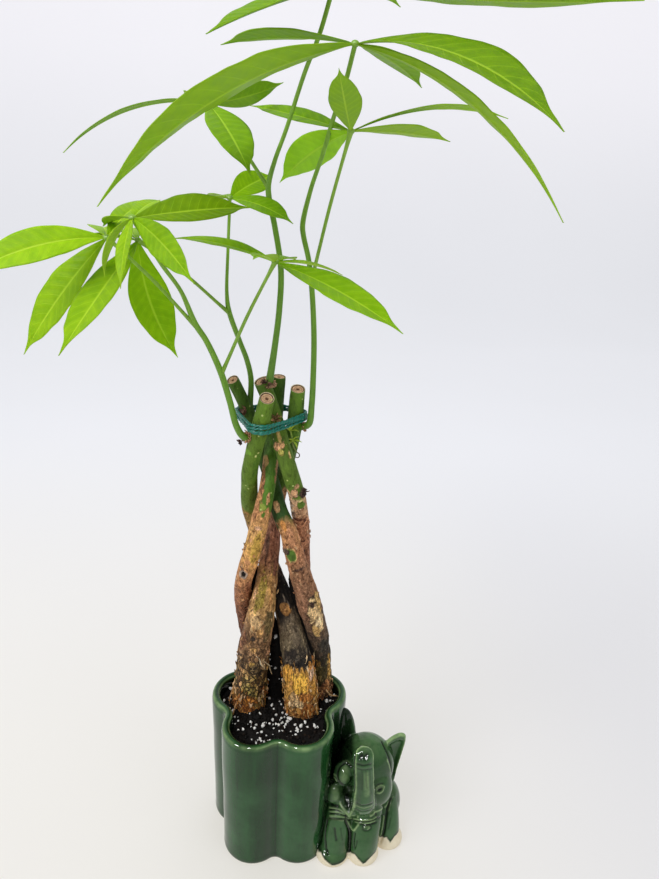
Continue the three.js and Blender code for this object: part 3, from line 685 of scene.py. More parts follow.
def leaf_material(settings):
    """Leaf blade. Its map gives the share across (0 to 1 on top, 2 to 3 below) and along.
    A pale midrib runs down the middle, and pale side veins leave it in pairs that bend towards
    the tip; the blade between them is a little darker, and paler below."""
    nodes, place = start_material("leaf_blade")
    u, along = map_of(nodes)
    below = nodes.maths("GREATER_THAN", u, 1.5)
    across = nodes.times(nodes.maths("FRACT", nodes.times(u, 0.9999)), 2.0)
    side = nodes.minus(across, 1.0)
    out = nodes.maths("ABSOLUTE", side)
    bend = nodes.times(nodes.maths("POWER", out, VEIN_CURVE), VEIN_BEND)
    phase = nodes.times(nodes.minus(along, bend), VEIN_PAIRS)
    right = nodes.maths("GREATER_THAN", side, 0.0)
    phase = nodes.plus(phase, nodes.times(right, VEIN_STAGGER))
    near = nodes.maths("ABSOLUTE", nodes.minus(nodes.maths("FRACT", phase), 0.5))
    vein = nodes.times(nodes.ramp(near, 0.43, 0.5), nodes.ramp(out, 1.0, 0.55, 0.15, 1.0))
    rib = nodes.ramp(out, 0.085, 0.02)
    tint = tint_of(nodes)
    light = nodes.tinted(tint, (1.45, 1.35, 2.2))
    mottled = nodes.noise(place, 160.0, 4.0, 0.6)
    blade = nodes.over(
        nodes.tinted(tint, (0.8, 0.86, 0.75)),
        (nodes.ramp(mottled, 0.35, 0.65), tint),
        (nodes.times(nodes.ramp(near, 0.3, 0.0), 0.25), nodes.tinted(tint, (0.66, 0.74, 0.6))),
        (nodes.times(vein, 0.5), nodes.mix(0.5, light, settings.vein)),
        (nodes.times(rib, 0.85), nodes.mix(0.5, light, settings.midrib)))
    pale = nodes.mix(0.25, blade, rgba("9cb444"))
    colour = nodes.mix(below, blade, pale)
    rough = nodes.ramp(mottled, 0.3, 0.7, 0.42, 0.56)
    height = nodes.minus(near, nodes.plus(nodes.times(vein, 0.5), rib))
    return finish_with(nodes, colour, rough, height, 0.3, 0.0004, Subsurface_Weight=0.25,
                       Subsurface_Radius=(0.004, 0.006, 0.001), Subsurface_Scale=0.25,
                       Specular_IOR_Level=0.1)


def twine_material(settings):
    """Shiny teal twine: plies wind round each strand, by the strand's own map, with painted shade
    in the grooves between them.
    """
    nodes, _ = start_material("teal_twine")
    around, along = map_of(nodes)
    turn = nodes.plus(nodes.times(around, 2.0), nodes.times(along, 420.0))
    ply = nodes.maths("ABSOLUTE", nodes.minus(nodes.maths("FRACT", turn), 0.5))
    # Painted shade between the plies
    colour = nodes.mix(nodes.ramp(ply, 0.0, 0.3, 0.3), settings.twine_dark,
                       settings.twine)
    return finish_with(nodes, colour, 0.4, ply, 0.5, 0.0004)


def material_once(name, make, settings):
    return bpy.data.materials.get(name) or make(settings)


def lobed_outline(inset, scale, lobe_steps, valley_steps):
    """The pot's plan: round lobes joined by round valleys, moved in by an inset. A valley's
    middle lies where its circle touches both neighbouring lobes."""
    lobe, valley = LOBE_RADIUS - inset, VALLEY_RADIUS + inset
    half = math.pi / LOBES
    offset = (LOBE_OFFSET * math.cos(half)
              + math.sqrt((lobe + valley) ** 2 - (LOBE_OFFSET * math.sin(half)) ** 2))
    reach = math.atan2(offset * math.sin(half), offset * math.cos(half) - LOBE_OFFSET)
    points = []
    for k in range(LOBES):
        facing = -math.pi / 2 + half + 2 * half * k
        angle = facing + np.linspace(-reach, reach, lobe_steps + 1)
        centre = LOBE_OFFSET * np.array([math.cos(facing), math.sin(facing)])
        points.append(centre + lobe * np.stack([np.cos(angle), np.sin(angle)], 1))
        toward = facing + half
        sweep = reach - half
        angle = toward + math.pi + np.linspace(sweep, -sweep, valley_steps + 1)[1:-1]
        centre = offset * np.array([math.cos(toward), math.sin(toward)])
        points.append(centre + valley * np.stack([np.cos(angle), np.sin(angle)], 1))
    return np.vstack(points) * scale


def lobed_rings(levels, lobe_steps=34, valley_steps=10):
    """The plan at each level of height and inset; the pot narrows slightly to its base."""
    rings = []
    for height, inset in levels:
        scale = POT_TAPER + (1 - POT_TAPER) * height / POT_HEIGHT
        plan = lobed_outline(inset, scale, lobe_steps, valley_steps)
        rings.append(np.column_stack([plan, np.full(len(plan), height)]))
    return np.array(rings)


def pot_profile():
    """Heights and insets from the middle of the base, up the outside, over the rounded lip and
    down inside to just under the soil."""
    foot = [(0, 12), (0, 2.6), (0.25, 1.6), (0.9, 0.8), (2, 0.25), (3.5, 0)]
    side = [(z, 0) for z in np.linspace(6, POT_HEIGHT - 6, 40)]
    angle = np.linspace(0, math.pi, 15)
    middle, radius = LIP + 0.15, LIP - 0.15
    lip = [(POT_HEIGHT - 3.4 + 3.4 * math.sin(a), middle - radius * math.cos(a)) for a in angle]
    inside = [(z, WALL) for z in np.linspace(POT_HEIGHT - 5, SOIL_FOOT, 6)]
    return foot + side + [(POT_HEIGHT - 4.4, 0.02)] + lip + inside


def pot_mesh():
    """The pot's plan carried up its profile, with the faint unevenness of a slip-cast wall. Its
    tint holds thin glaze on the lip, pooling glaze and painted shade in the valleys, painted
    shade on a flank in front, beside the elephant and inside, darker glaze towards the foot and
    in a band on the lip, and bare clay under the foot."""
    profile = pot_profile()
    rings = lobed_rings(profile)
    rows, columns = rings.shape[:2]
    flat = rings.reshape(-1, 3)
    heights = np.repeat([p[0] for p in profile], columns)
    insets = np.repeat([p[1] for p in profile], columns)
    outward = flat * (1, 1, 0)
    outward /= np.maximum(np.linalg.norm(outward, axis=1, keepdims=True), 1e-6)
    raised = smoothstep(2, 8, heights) * smoothstep(POT_HEIGHT, POT_HEIGHT - 6, heights)
    flat = flat - outward * (0.25 * (1 + layered(flat, 26, 5, 2)) * raised)[:, None]
    high = smoothstep(POT_HEIGHT - 4, POT_HEIGHT - 2, heights)
    thin_glaze_and_light = high * (np.exp(-((insets - 1.3) / 0.9) ** 2) + np.exp(-((insets - 5.2) / 0.45) ** 2))
    thin_glaze_and_light = np.clip(thin_glaze_and_light * (0.5 + 0.3 * layered(flat, 9, 2)), 0, 1)
    outside = insets < 1
    away = np.linalg.norm(flat[:, :2], axis=1)
    facing = np.degrees(np.arctan2(flat[:, 1], flat[:, 0]))
    sector = 360 / LOBES
    across = away * np.sin(np.radians((facing + 90 + sector / 2) % sector - sector / 2))
    # Darker along each valley's middle: pooling glaze and painted shade
    line = np.exp(-(across / 1.3) ** 2)
    # Painted shade on the front flank that turns from the light
    flank = smoothstep(-22, -6, flat[:, 0]) * smoothstep(1, -1, flat[:, 0]) * (flat[:, 1] < -30)
    # Painted shade on the flank beside the elephant
    shaded = smoothstep(-55, -51.5, facing - 0.09 * heights) * smoothstep(32, 20, facing)
    shaded = shaded * smoothstep(POT_HEIGHT - 5, POT_HEIGHT - 9, heights)
    # Pooling glaze and painted shade in one channel: valleys, flanks and the inside are painted
    # shade too; darker towards the foot and in a band on the lip
    pooling_and_shade = np.max([
        0.3 * smoothstep(44, 41, away) * outside, 0.7 * line * outside, 0.5 * flank * outside,
        0.8 * shaded * outside, 0.6 * smoothstep(7, 0, heights) * outside,
        0.95 * smoothstep(5.5, 6, insets) * (heights > 50),
        0.5 * high * np.exp(-((insets - 4.2) / 0.6) ** 2)], axis=0)
    bare = smoothstep(0.6, 0.2, heights + 0.3 * noise(flat, 3, 4))
    surface = Surface()
    poles = np.array([[0, 0, 0], [0, 0, profile[-1][0]]])
    surface.grid(flat.reshape(rows, columns, 3), tints=np.stack([thin_glaze_and_light, pooling_and_shade, bare], 1),
                 poles=poles)
    return surface.mesh("pot_glazed")


def fused(surface, name, voxel, smooth_steps):
    """The overlapping grids melted into one skin by a voxel remesh, then smoothed. The mesh
    stays in millimetres."""
    mesh = surface.mesh(name, 1)
    rough = bpy.data.objects.new(name + "_rough", mesh)
    bpy.context.scene.collection.objects.link(rough)
    remesh = rough.modifiers.new("Melt", "REMESH")
    remesh.mode, remesh.voxel_size = "VOXEL", voxel
    smooth = rough.modifiers.new("Soften", "SMOOTH")
    smooth.factor, smooth.iterations = 0.5, smooth_steps
    graph = bpy.context.evaluated_depsgraph_get()
    made = bpy.data.meshes.new_from_object(rough.evaluated_get(graph))
    made.name = name
    bpy.data.objects.remove(rough)
    bpy.data.meshes.remove(mesh)
    made.shade_smooth()
    return made


# Further off than anything on the planter
FAR_AWAY = 1e9
# Where the creases are drawn from, the step between their points, how far from a sight line a
# point of the skin may lie, and how far behind the nearest one
CREASE_EYE = (4, -371.9, 466.7)
CREASE_STEP = 1.6
SIGHT_REACH = 0.9
SIGHT_DEPTH = 1.5
# The narrowest half width that the elephant's finished skin can show
NARROWEST_CREASE = 0.6


def stroke_distance(points, stroke):
    """Each point's distance to a line through the stroke's points."""
    best = np.full(len(points), FAR_AWAY)
    for a, b in zip(stroke[:-1], stroke[1:]):
        t = np.clip((points - a) @ (b - a) / ((b - a) @ (b - a)), 0, 1)
        best = np.minimum(best, np.linalg.norm(points - (a + t[:, None] * (b - a)), axis=1))
    return best


def laid_on(skin, line):
    """A line of x and z, drawn on an upright plane at y = -40 and moved along the sight lines
    from the eye to where they first meet the skin: of the skin's points near a sight line, and
    not far behind the one nearest the eye, the one closest to the sight line."""
    path, _ = smooth_curve([(x, -40, z) for x, z in line], CREASE_STEP)
    from_eye = skin - CREASE_EYE
    laid = []
    for point in path:
        way = (point - CREASE_EYE) / np.linalg.norm(point - CREASE_EYE)
        ahead = from_eye @ way
        beside = np.linalg.norm(from_eye - ahead[:, None] * way, axis=1)
        first = np.where(beside < SIGHT_REACH, ahead, FAR_AWAY).min()
        if first < FAR_AWAY:
            best = np.argmin(np.where(ahead < first + SIGHT_DEPTH, beside, FAR_AWAY))
            laid.append(CREASE_EYE + way * ahead[best])
    return np.array(laid)


# Creases pressed into the elephant and ridges raised from it (negative depth): half width,
# depth, thin glaze along it, pooling glaze and painted shade along it, and its points' x and z,
# in millimetres
CREASES = (
    (0.75, -0.7, 0.9, 0, ((52.8, 45.1), (54.5, 51.4), (55.6, 59.7), (55.8, 71), (54.9, 83.7),
        (54, 96.2), (54, 103.8), (55.4, 107.9), (58.3, 109.8), (61.8, 109), (64.3, 106),
        (65.7, 100.8), (66.7, 90), (67.9, 77.4), (69.2, 64.5), (70.5, 53), (70, 46.4),
        (66.4, 43.2), (61.6, 42.5), (56.7, 43.7), (52.8, 45.1))),
    (1.6, 1.4, 0, 1, ((56.9, 99.6), (57.9, 102.3))),
    (1.6, 1.4, 0, 1, ((60.4, 99.3), (61.3, 102))),
    (0.55, 0.5, 0, 0.9, ((55.2, 94), (59.4, 92.6), (64.7, 94))),
    (0.5, 0.4, 0, 0.7, ((55.7, 89.7), (60, 88.4), (65.4, 89.7))),
    (0.5, 0.25, 0, 0.6, ((58.9, 87.6), (59.8, 79), (60.1, 69.4))),
    (0.5, 0.25, 0, 0.5, ((61.6, 88.1), (62.5, 79), (63.5, 71))),
    (0.5, 0.25, 0, 0.4, ((64.2, 88.1), (65.2, 77.4), (66.7, 66.1))),
    (0.6, 0.5, 0, 0.8, ((56.7, 56.4), (62.1, 54), (68.8, 56.3))),
    (0.5, 0.4, 0.5, 0, ((56.4, 53.7), (62.2, 51.4), (69.3, 53.7))),
    (0.55, 0.5, 0, 0.7, ((55.8, 50.6), (61.9, 48.1), (69.3, 50.4))),
    (2.2, 0.4, 0, 0.35, ((57.1, 83.7), (58, 64.5), (57.2, 54.7))),
    (2.4, 0.1, 0.35, 0, ((62.6, 83.7), (64.4, 64.5))),
    (0.5, -0.5, 0.95, 0, ((69.3, 69.7), (71.4, 73.2), (73.9, 74), (75.5, 72.7))),
    (0.5, -0.5, 0.95, 0, ((75.5, 72.7), (75, 69.4), (73.1, 66.5), (70.7, 66.9), (69.3, 69.7))),
    (0.4, 0.3, 0.6, 0, ((70.5, 68.7), (72.2, 71), (74.1, 71.6))),
    (0.9, 0.4, 0, 1, ((72.2, 69.4), (73.5, 70.2))),
    (0.5, 0.4, 0, 0.7, ((69.6, 71.3), (71.5, 74.8), (74.3, 75.5))),
    (0.6, -0.2, 0.8, 0, ((75.4, 98.5), (77.9, 91.6), (80.2, 82.1), (81.1, 74.2), (81.3, 66.9),
        (80.3, 59.6), (78.2, 53.3), (74.4, 49.7), (71.4, 48))),
    (0.9, -1, 1, 0, ((45.5, 56.7), (47.4, 52.1), (50, 48.1), (52.8, 45.1))),
    (0.8, -0.9, 1, 0, ((52.8, 45.1), (54.7, 49.4), (55.9, 55.1), (56, 61.3))),
    (3, 3, 0, 1, ((50.7, 67.8), (49.7, 61.3), (51.1, 53.1))),
    (0.4, -0.6, 0.35, 0, ((51, 71.3), (48.3, 64.6), (47.6, 56.4))),
    (0.4, -0.6, 0.35, 0, ((52.5, 70.7), (50.3, 62.9), (49.7, 53.1))),
    (0.4, -0.6, 0.35, 0, ((53.9, 69.7), (52.3, 61.3), (51.8, 50.6))),
    (0.4, -0.6, 0.3, 0, ((55, 67.8), (54.3, 59.7), (53.5, 49.8))),
    (0.9, 0.9, 0, 1, ((46.1, 95.2), (42.9, 90.6), (41.7, 83.7), (43.9, 76.6), (48.3, 73.3),
        (51.4, 76.8), (52.5, 85.3), (50.7, 92.2), (47.7, 95.2))),
    (3.4, -0.3, 0.42, 0, ((47, 88.7), (47.2, 80.9))),
    (0.5, -0.5, 0.7, 0, ((45.1, 96.8), (47.6, 97.4), (50.1, 94.3), (52, 89.7))),
    (1, 1, 0, 1, ((40.1, 78.4), (36.7, 75.5), (34.7, 69.1), (34.8, 61.3), (37.7, 55.8),
        (43.8, 53.1))),
    (3.2, -0.2, 0.34, 0, ((40.4, 71.3), (42.1, 62))),
    (0.45, -0.4, 0.9, 0, ((37.3, 82.8), (39.3, 84.7), (41.3, 82.5), (42.9, 78.4))),
    (0.45, -0.4, 0.9, 0, ((38.2, 79.6), (39.9, 81.8), (41.7, 78))),
    (0.6, 0.7, 0, 1, ((36.7, 80.9), (38.9, 78), (42.5, 76.5))),
    (0.7, -0.8, 0.7, 0, ((38.1, 52.5), (44.4, 50.8), (52.1, 44.8))),
    (0.7, -0.8, 0.6, 0, ((38.3, 48.5), (45.1, 47.5), (52.2, 43.4))),
    (0.7, -0.8, 0.5, 0, ((38.7, 44.5), (45.7, 43.6), (52.3, 42.1))),
    (0.45, 0.9, 0, 1, ((38.2, 50.5), (44.9, 49.1), (51.9, 44.1))),
    (0.45, 0.9, 0, 1, ((38.4, 46.5), (45.6, 45.6), (52.2, 42.8))),
    (0.6, 0.9, 0, 1, ((37.6, 41.5), (44.9, 40.4), (50.9, 40.4))),
    (1.1, -0.8, 0.5, 0, ((51.7, 43.4), (54, 41.7))),
    (0.6, 0.7, 0, 1, ((50.4, 45.5), (50.1, 42.1), (52.4, 39.4), (55.3, 40.4))),
    (0.7, -0.8, 0.75, 0, ((55.9, 41.1), (63.1, 39.3), (69.3, 40.3), (72.4, 43.3))),
    (0.6, -0.6, 0.6, 0, ((57.1, 38), (64.5, 36.3), (71.3, 38.9))),
    (0.5, 0.7, 0, 1, ((56.5, 39.4), (63.8, 37.8), (70.5, 39.8), (72.1, 41.3))),
    (0.6, 0.8, 0, 1, ((60.9, 35.6), (67.1, 34.2), (72.7, 37.2))),
    (0.7, -0.8, 0.85, 0, ((50.5, 40.1), (53.4, 34.6), (56.7, 29.1), (58.9, 33.2), (60.8, 37))),
    (1.6, 0.5, 0, 0.4, ((55, 36.3), (57.2, 36))),
    (0.5, 0.5, 0, 0.8, ((63, 32.5), (64.6, 34.4), (67.5, 34.4), (69.6, 32.5), (68.1, 29.1),
        (65.3, 28.4), (63.2, 30.5))),
    (0.4, -0.3, 0.5, 0, ((64.3, 32.2), (66.1, 33.5), (68.2, 32.2), (66.9, 30.1))),
    (0.9, 1.2, 0, 1, ((36.8, 39.5), (35.7, 27.9), (36.7, 14.7), (38.7, 4.8))),
    (1.1, 1.5, 0, 1, ((50.5, 39.1), (53.6, 28.5), (54.6, 14.6), (54.5, 4.1))),
    (0.5, -0.4, 0.6, 0, ((37.6, 41.5), (42.5, 40.5), (48.8, 39.4))),
    (0.7, 0.9, 0, 0.9, ((42.7, 31), (43.6, 24.4), (44.6, 18.9))),
    (0.45, 0.3, 0, 0.5, ((47.1, 31.3), (49.2, 19.2))),
    (0.6, 0.6, 0, 0.7, ((57.9, 26), (57.4, 17.4), (58.4, 10))),
    (0.5, 0.4, 0, 0.6, ((59.8, 18.4), (59.1, 11))),
    (0.6, -0.5, 0.8, 0, ((77.8, 43.3), (77.6, 32.8), (76.8, 22.1), (75.5, 12.6), (75.1, 8.7))),
    (1, 1.4, 0, 1, ((81.8, 61.2), (80.1, 53), (79.4, 41.3), (79, 27.6), (77.1, 17.2))),
    (0.5, -0.4, 0.6, 0, ((82.6, 62.8), (81.5, 56.3), (80.5, 48))),
    (0.5, 0.4, 0, 0.6, ((82.5, 41.3), (81.9, 31))),
    (0.6, 0.6, 0, 0.8, ((71.5, 46), (73.8, 41.3), (77.2, 44.7))),
    (1.8, 1.6, 0, 1, ((41.2, 117.9), (42.6, 113.8), (41.9, 109.3))),
    (0.8, 0.9, 0, 0.9, ((46.2, 109.6), (48.4, 106.9), (50.3, 102.9))),
    (0.6, -0.3, 0.4, 0, ((47.7, 119.4), (51.8, 122.1), (58.5, 123), (65.5, 120.4), (70.7, 115.1))),
    (0.8, 0.8, 0, 1, ((70.7, 114.5), (74.1, 106.9), (77.4, 97.5), (80.3, 85.3))),
    (0.8, 0.9, 0, 1, ((53, 103.8), (53.5, 90), (54.5, 75.8), (54.5, 67.8))),
)
# Heights at which the glaze stops above the toes: x and z, front feet and hind foot
FRONT_TOES = ((30, 7), (33.8, 8.5), (41.5, 4.2), (50.8, 5), (54.9, 7.4), (58.5, 9.4), (64.4, 4.8),
              (73.9, 10), (78, 11))
HIND_TOES = ((74, 9), (79, 10), (83, 12), (86, 8), (90, 11), (97, 10))
# Outline of the standing ear, x and z, back to where it starts
EAR = ((78, 81), (84, 86.5), (90, 89.2), (94, 87.5), (94.6, 83), (93, 71.4), (90.5, 56),
       (88.2, 42), (84, 48), (80, 64), (78, 81))
# How far out from the ear's middle each of its rings lies, and how far back
EAR_RINGS = ((0.05, 1.6), (0.35, 1.4), (0.62, 0.6), (0.82, -1.6), (0.93, -2.2), (1.0, -1.2),
             (1.02, 0.4), (0.96, 2), (0.8, 3.2), (0.4, 4.4), (0.05, 4.8))


def ear_grid():
    """The standing ear: rings of its outline drawn in to the middle, in front hollowed and
    behind bulging, so that a thick rounded rim is left all round."""
    outline, _ = smooth_curve([(x, 0, z) for x, z in EAR], 1.2)
    outline = outline[:-1]
    middle = outline.mean(axis=0)
    rings = []
    for share, depth in EAR_RINGS:
        ring = middle + share * (outline - middle)
        ring[:, 1] = -9.5 + depth + 0.16 * (ring[:, 0] - 84)
        rings.append(ring)
    rings = np.array(rings)[:, ::-1]
    return rings, np.stack([rings[0].mean(axis=0), rings[-1].mean(axis=0)])


def elephant_mesh(settings):
    """The elephant's masses and limbs melted into one, then pressed with creases: each moves
    the skin along its normal by its depth times a bell curve of the distance to its line. Its
    tint holds thin glaze on creases and the ear's rim, painted light on skin that faces up,
    pooling glaze and painted shade along creases, painted shade beside the pot, pooling glaze
    above the toes, and bare clay on the toes."""
    surface = Surface()
    for centre, half_axes, tilt in ELEPHANT_MASSES:
        surface.ball(centre, half_axes, tilt=tilt)
    for limb in ELEPHANT_LIMBS:
        path, _ = smooth_curve(limb, 1.5)
        surface.tube(path[:, :3], path[:, 3], 32)
    grid, poles = ear_grid()
    surface.grid(grid, poles=poles)
    voxel = settings.detail / MM
    mesh = fused(surface, "elephant_glazed", voxel, 7)
    points = read_points(mesh, "co")
    normals = read_points(mesh, "normal")
    start = points.copy()
    # Painted light: skin that faces up is made paler, as if lit from above, over a faint thin glaze
    # everywhere
    thin_glaze_and_light = 0.08 + 0.1 * smoothstep(0.3, 0.95, normals[:, 2])
    around_ear = stroke_distance(start[:, ::2], np.array(EAR, float))
    standing = (np.abs(start[:, 1] + 9) < 5) & (start[:, 2] > 52) & (start[:, 0] > 80)
    thin_glaze_and_light = np.maximum(thin_glaze_and_light, standing * (0.08 + 0.75 * np.exp(-(around_ear / 0.9) ** 2)))
    pooling_and_shade = np.zeros(len(points))
    seen = start[np.einsum("ij,ij->i", normals, CREASE_EYE - start) > 0]
    for width, depth, thin, crease_pool_and_shade, line in CREASES:
        laid = laid_on(seen, line)
        if len(laid) < 2:
            continue
        middle, half = (laid.max(axis=0) + laid.min(axis=0)) / 2, np.ptp(laid, axis=0) / 2
        near = np.flatnonzero((np.abs(start - middle) < half + 3 * width).all(axis=1))
        far = stroke_distance(start[near], laid)
        bell = np.exp(-(far / max(width, NARROWEST_CREASE)) ** 2)
        points[near] -= normals[near] * (depth * bell)[:, None]
        thin_glaze_and_light[near] = np.maximum(thin_glaze_and_light[near], min(1.25 * thin, 1) * bell)
        # Pooling glaze along creases, and painted shade along some of them
        pooling_and_shade[near] = np.maximum(pooling_and_shade[near], crease_pool_and_shade * np.exp(-(far / width / 1.25) ** 2))
    points[:, 2] = np.maximum(points[:, 2], 0)
    x, y, z = start.T
    hind = smoothstep(76, 78, x + 0.8 * (y + 30))
    stop = (1 - hind) * np.interp(x, *zip(*FRONT_TOES)) + hind * np.interp(x, *zip(*HIND_TOES))
    bare = smoothstep(0.35, -0.35, z - stop + 0.5 * noise(start, 2.5, 3))
    # Painted shade: dark glaze where the elephant's side meets the pot
    pooling_and_shade = np.maximum(pooling_and_shade, 0.85 * smoothstep(57, 53, x) * smoothstep(-26, -20, y))
    pooling_and_shade = np.maximum(pooling_and_shade, 0.8 * smoothstep(3, 0.3, np.abs(z - stop)) * (1 - bare))
    mesh.vertices.foreach_set("co", (points * MM).astype(np.float32).ravel())
    mesh.update()
    set_tint(mesh, np.stack([thin_glaze_and_light, np.clip(pooling_and_shade, 0, 1), bare], 1))
    return mesh


def soil_top(x, y):
    return SOIL_LEVEL + sum(height * np.sin(a * x + b * y + start)
                            for height, a, b, start in SOIL_WAVES)


def soil_mesh():
    """The soil's top as rings of the pot's plan drawn in towards the middle, raised by waves and
    two sizes of crumbs, with a skirt down inside the wall; then the peat between the trunks, and
    dark strings of it in the gaps beside it as painted shade."""
    plan = lobed_outline(WALL + 0.4, 1.0, 60, 16)
    shares = np.linspace(1, 0.008, 110)
    x = shares[:, None] * plan[None, :, 0]
    y = shares[:, None] * plan[None, :, 1]
    flat = np.stack([x.ravel(), y.ravel(), np.zeros(x.size)], 1)
    crumbs = 0.9 * np.abs(layered(flat, 2.6, 11, 3)) + 0.8 * layered(flat, 7, 21, 2)
    z = soil_top(x, y) - 0.9 + crumbs.reshape(x.shape)
    grid = np.stack([x, y, z], axis=2)
    skirt = grid[:1].copy()
    skirt[..., 2] = SOIL_FOOT
    grid = np.concatenate([skirt, grid])
    dark = 0.7 + 0.5 * np.clip(noise(grid.reshape(-1, 3), 1.7, 9), -0.6, 1)
    tints = np.repeat(dark[:, None], 3, axis=1)
    surface = Surface()
    poles = np.array([[0, 0, SOIL_FOOT], [0, 0, grid[-1, :, 2].mean()]])
    surface.grid(grid, tints=tints, poles=poles)
    # The peat, then the dark strings that are painted shade in the gaps
    for peat, less, around in ((PEAT, 0.4, 36), *((string, 0, 20) for string in SHADE_STRINGS)):
        path, _ = smooth_curve(peat, 1.0)
        surface.tube(path[:, :3], path[:, 3] - less, around, (0.8, 0.8, 0.8))
    for crumbly in surface.points[1:]:
        crumbly += (0.5 * layered(crumbly, 2.6, 12, 3))[:, None] * (1, 1, 0.3)
    return surface.mesh("soil_crumbs")


CRUMBS_ON_SOIL = 620
CRUMBS_ON_PEAT = 120
PERLITE_ON_PEAT = 60


def on_soil(rng, count, margin):
    """Random places on the soil, clear of the wall and of the trunks."""
    reach = lobed_outline(WALL + margin, 1.0, 12, 4)
    angle = np.arctan2(reach[:, 1], reach[:, 0])
    order = np.argsort(angle)
    limit = lambda a: np.interp(a, angle[order], np.linalg.norm(reach[order], axis=1),
                                period=2 * math.pi)
    places = rng.uniform(-POT_WIDTH / 2, POT_WIDTH / 2, (count * 4, 2))
    keep = np.hypot(*places.T) < limit(np.arctan2(places[:, 1], places[:, 0]))
    for points in TRUNKS.values():
        foot = np.array(points[1])
        keep &= np.hypot(*(places - foot[:2]).T) > foot[3] - 0.5
    places = places[keep][:count]
    return np.column_stack([places, soil_top(*places.T)])


def on_peat(rng, count):
    """Random places on the skin of the peat between the trunks."""
    path, _ = smooth_curve(PEAT, 1.0)
    k = rng.integers(5, len(path) - 6, count)
    angle = rng.uniform(0, 2 * math.pi, count)
    reach = path[k, 3, None] - 0.3
    return path[k, :3] + reach * np.stack([np.cos(angle), np.sin(angle), 0 * angle], axis=1)


def clumped(rng, places, size):
    """Keeps more of the places where slow noise is high, so that they lie in clumps."""
    chance = 0.5 + 0.9 * noise(places, size, 77)
    return places[rng.uniform(0, 1, len(places)) < chance]


def grains_mesh(name, rng, places, sizes, sink, tints):
    """Small lumps strewn on the soil: each is a ball of few faces, squashed and roughened by
    noise, turned at random and partly sunk."""
    surface = Surface()
    ball = unit_ball(5, 8)
    for place in places:
        size = rng.uniform(*sizes)
        axes = size * rng.uniform(0.6, 1.25, 3)
        turn = np.linalg.qr(rng.normal(size=(3, 3)))[0]
        turn *= np.sign(np.linalg.det(turn))
        lump = ball * (1 + 0.22 * rng.uniform(-1, 1, ball.shape[:2])[..., None])
        lump[0], lump[-1] = lump[0].mean(axis=0), lump[-1].mean(axis=0)
        placed = (lump * axes) @ turn.T + place + (0, 0, size * sink)
        surface.grid(placed[1:-1], tints=tints[rng.integers(len(tints))],
                     poles=np.stack([placed[0, 0], placed[-1, 0]]))
    return surface.mesh(name)


# Each trunk's colours by height; the centre trunk's near-black band at 187 to 203 is painted shade
# where it turns back behind the others
TRUNK_STOPS = {
    "centre": ((97, "c98a4c"), (121, "d09c4a"), (143, "c08c3a"), (146, "2b231c"),
        (153, "5e5344"), (165, "77694f"), (180, "6c5d49"), (187, "30271f"), (193, "16110e"),
        (203, "14100d"), (213, "5a4230"), (221, "6b4c34"), (242, "7a5838"),
        (262, "94783e"), (266, "5d7524"), (300, "59761f"), (329, "5b7820"), (348, "5f8022")),
    "left": ((93, "cf8436"), (107, "d08c40"), (114, "aa8a48"), (145, "977646"), (160, "866442"),
        (180, "96704a"), (201, "a07c48"), (219, "a47a4a"), (226, "9a6a4a"), (245, "7a5040"),
        (271, "8a6644"), (274, "46651c"), (288, "435f1c"), (321, "4e711e"), (349, "5e8022")),
    "front": ((116, "6a4434"), (144, "7a4c38"), (172, "8a583e"), (204, "9c6847"),
        (232, "bc8656"), (244, "c2954e"), (259, "c4965a"), (277, "b48050"), (298, "ac7a4e"),
        (306, "b88c5c"), (309, "45661a"), (353, "3f5e18")),
    "back": ((143, "6a4a38"), (203, "8a5a42"), (240, "a06c4c"), (262, "a97452"), (276, "b08a68"),
        (281, "c09c78"), (284, "5f7a26"), (294, "5a7622"), (320, "546e1f"), (352, "4d6b20")),
    "right": ((102, "96683c"), (115, "6b5a30"), (136, "5d5430"), (147, "453b2e"),
        (168, "5f4a38"), (202, "7f5a42"), (225, "8d6446"), (248, "a97450"), (260, "b07f50"),
        (264, "2f5218"), (291, "2f4d18"), (311, "3f5e1b"), (354, "46661c")),
}
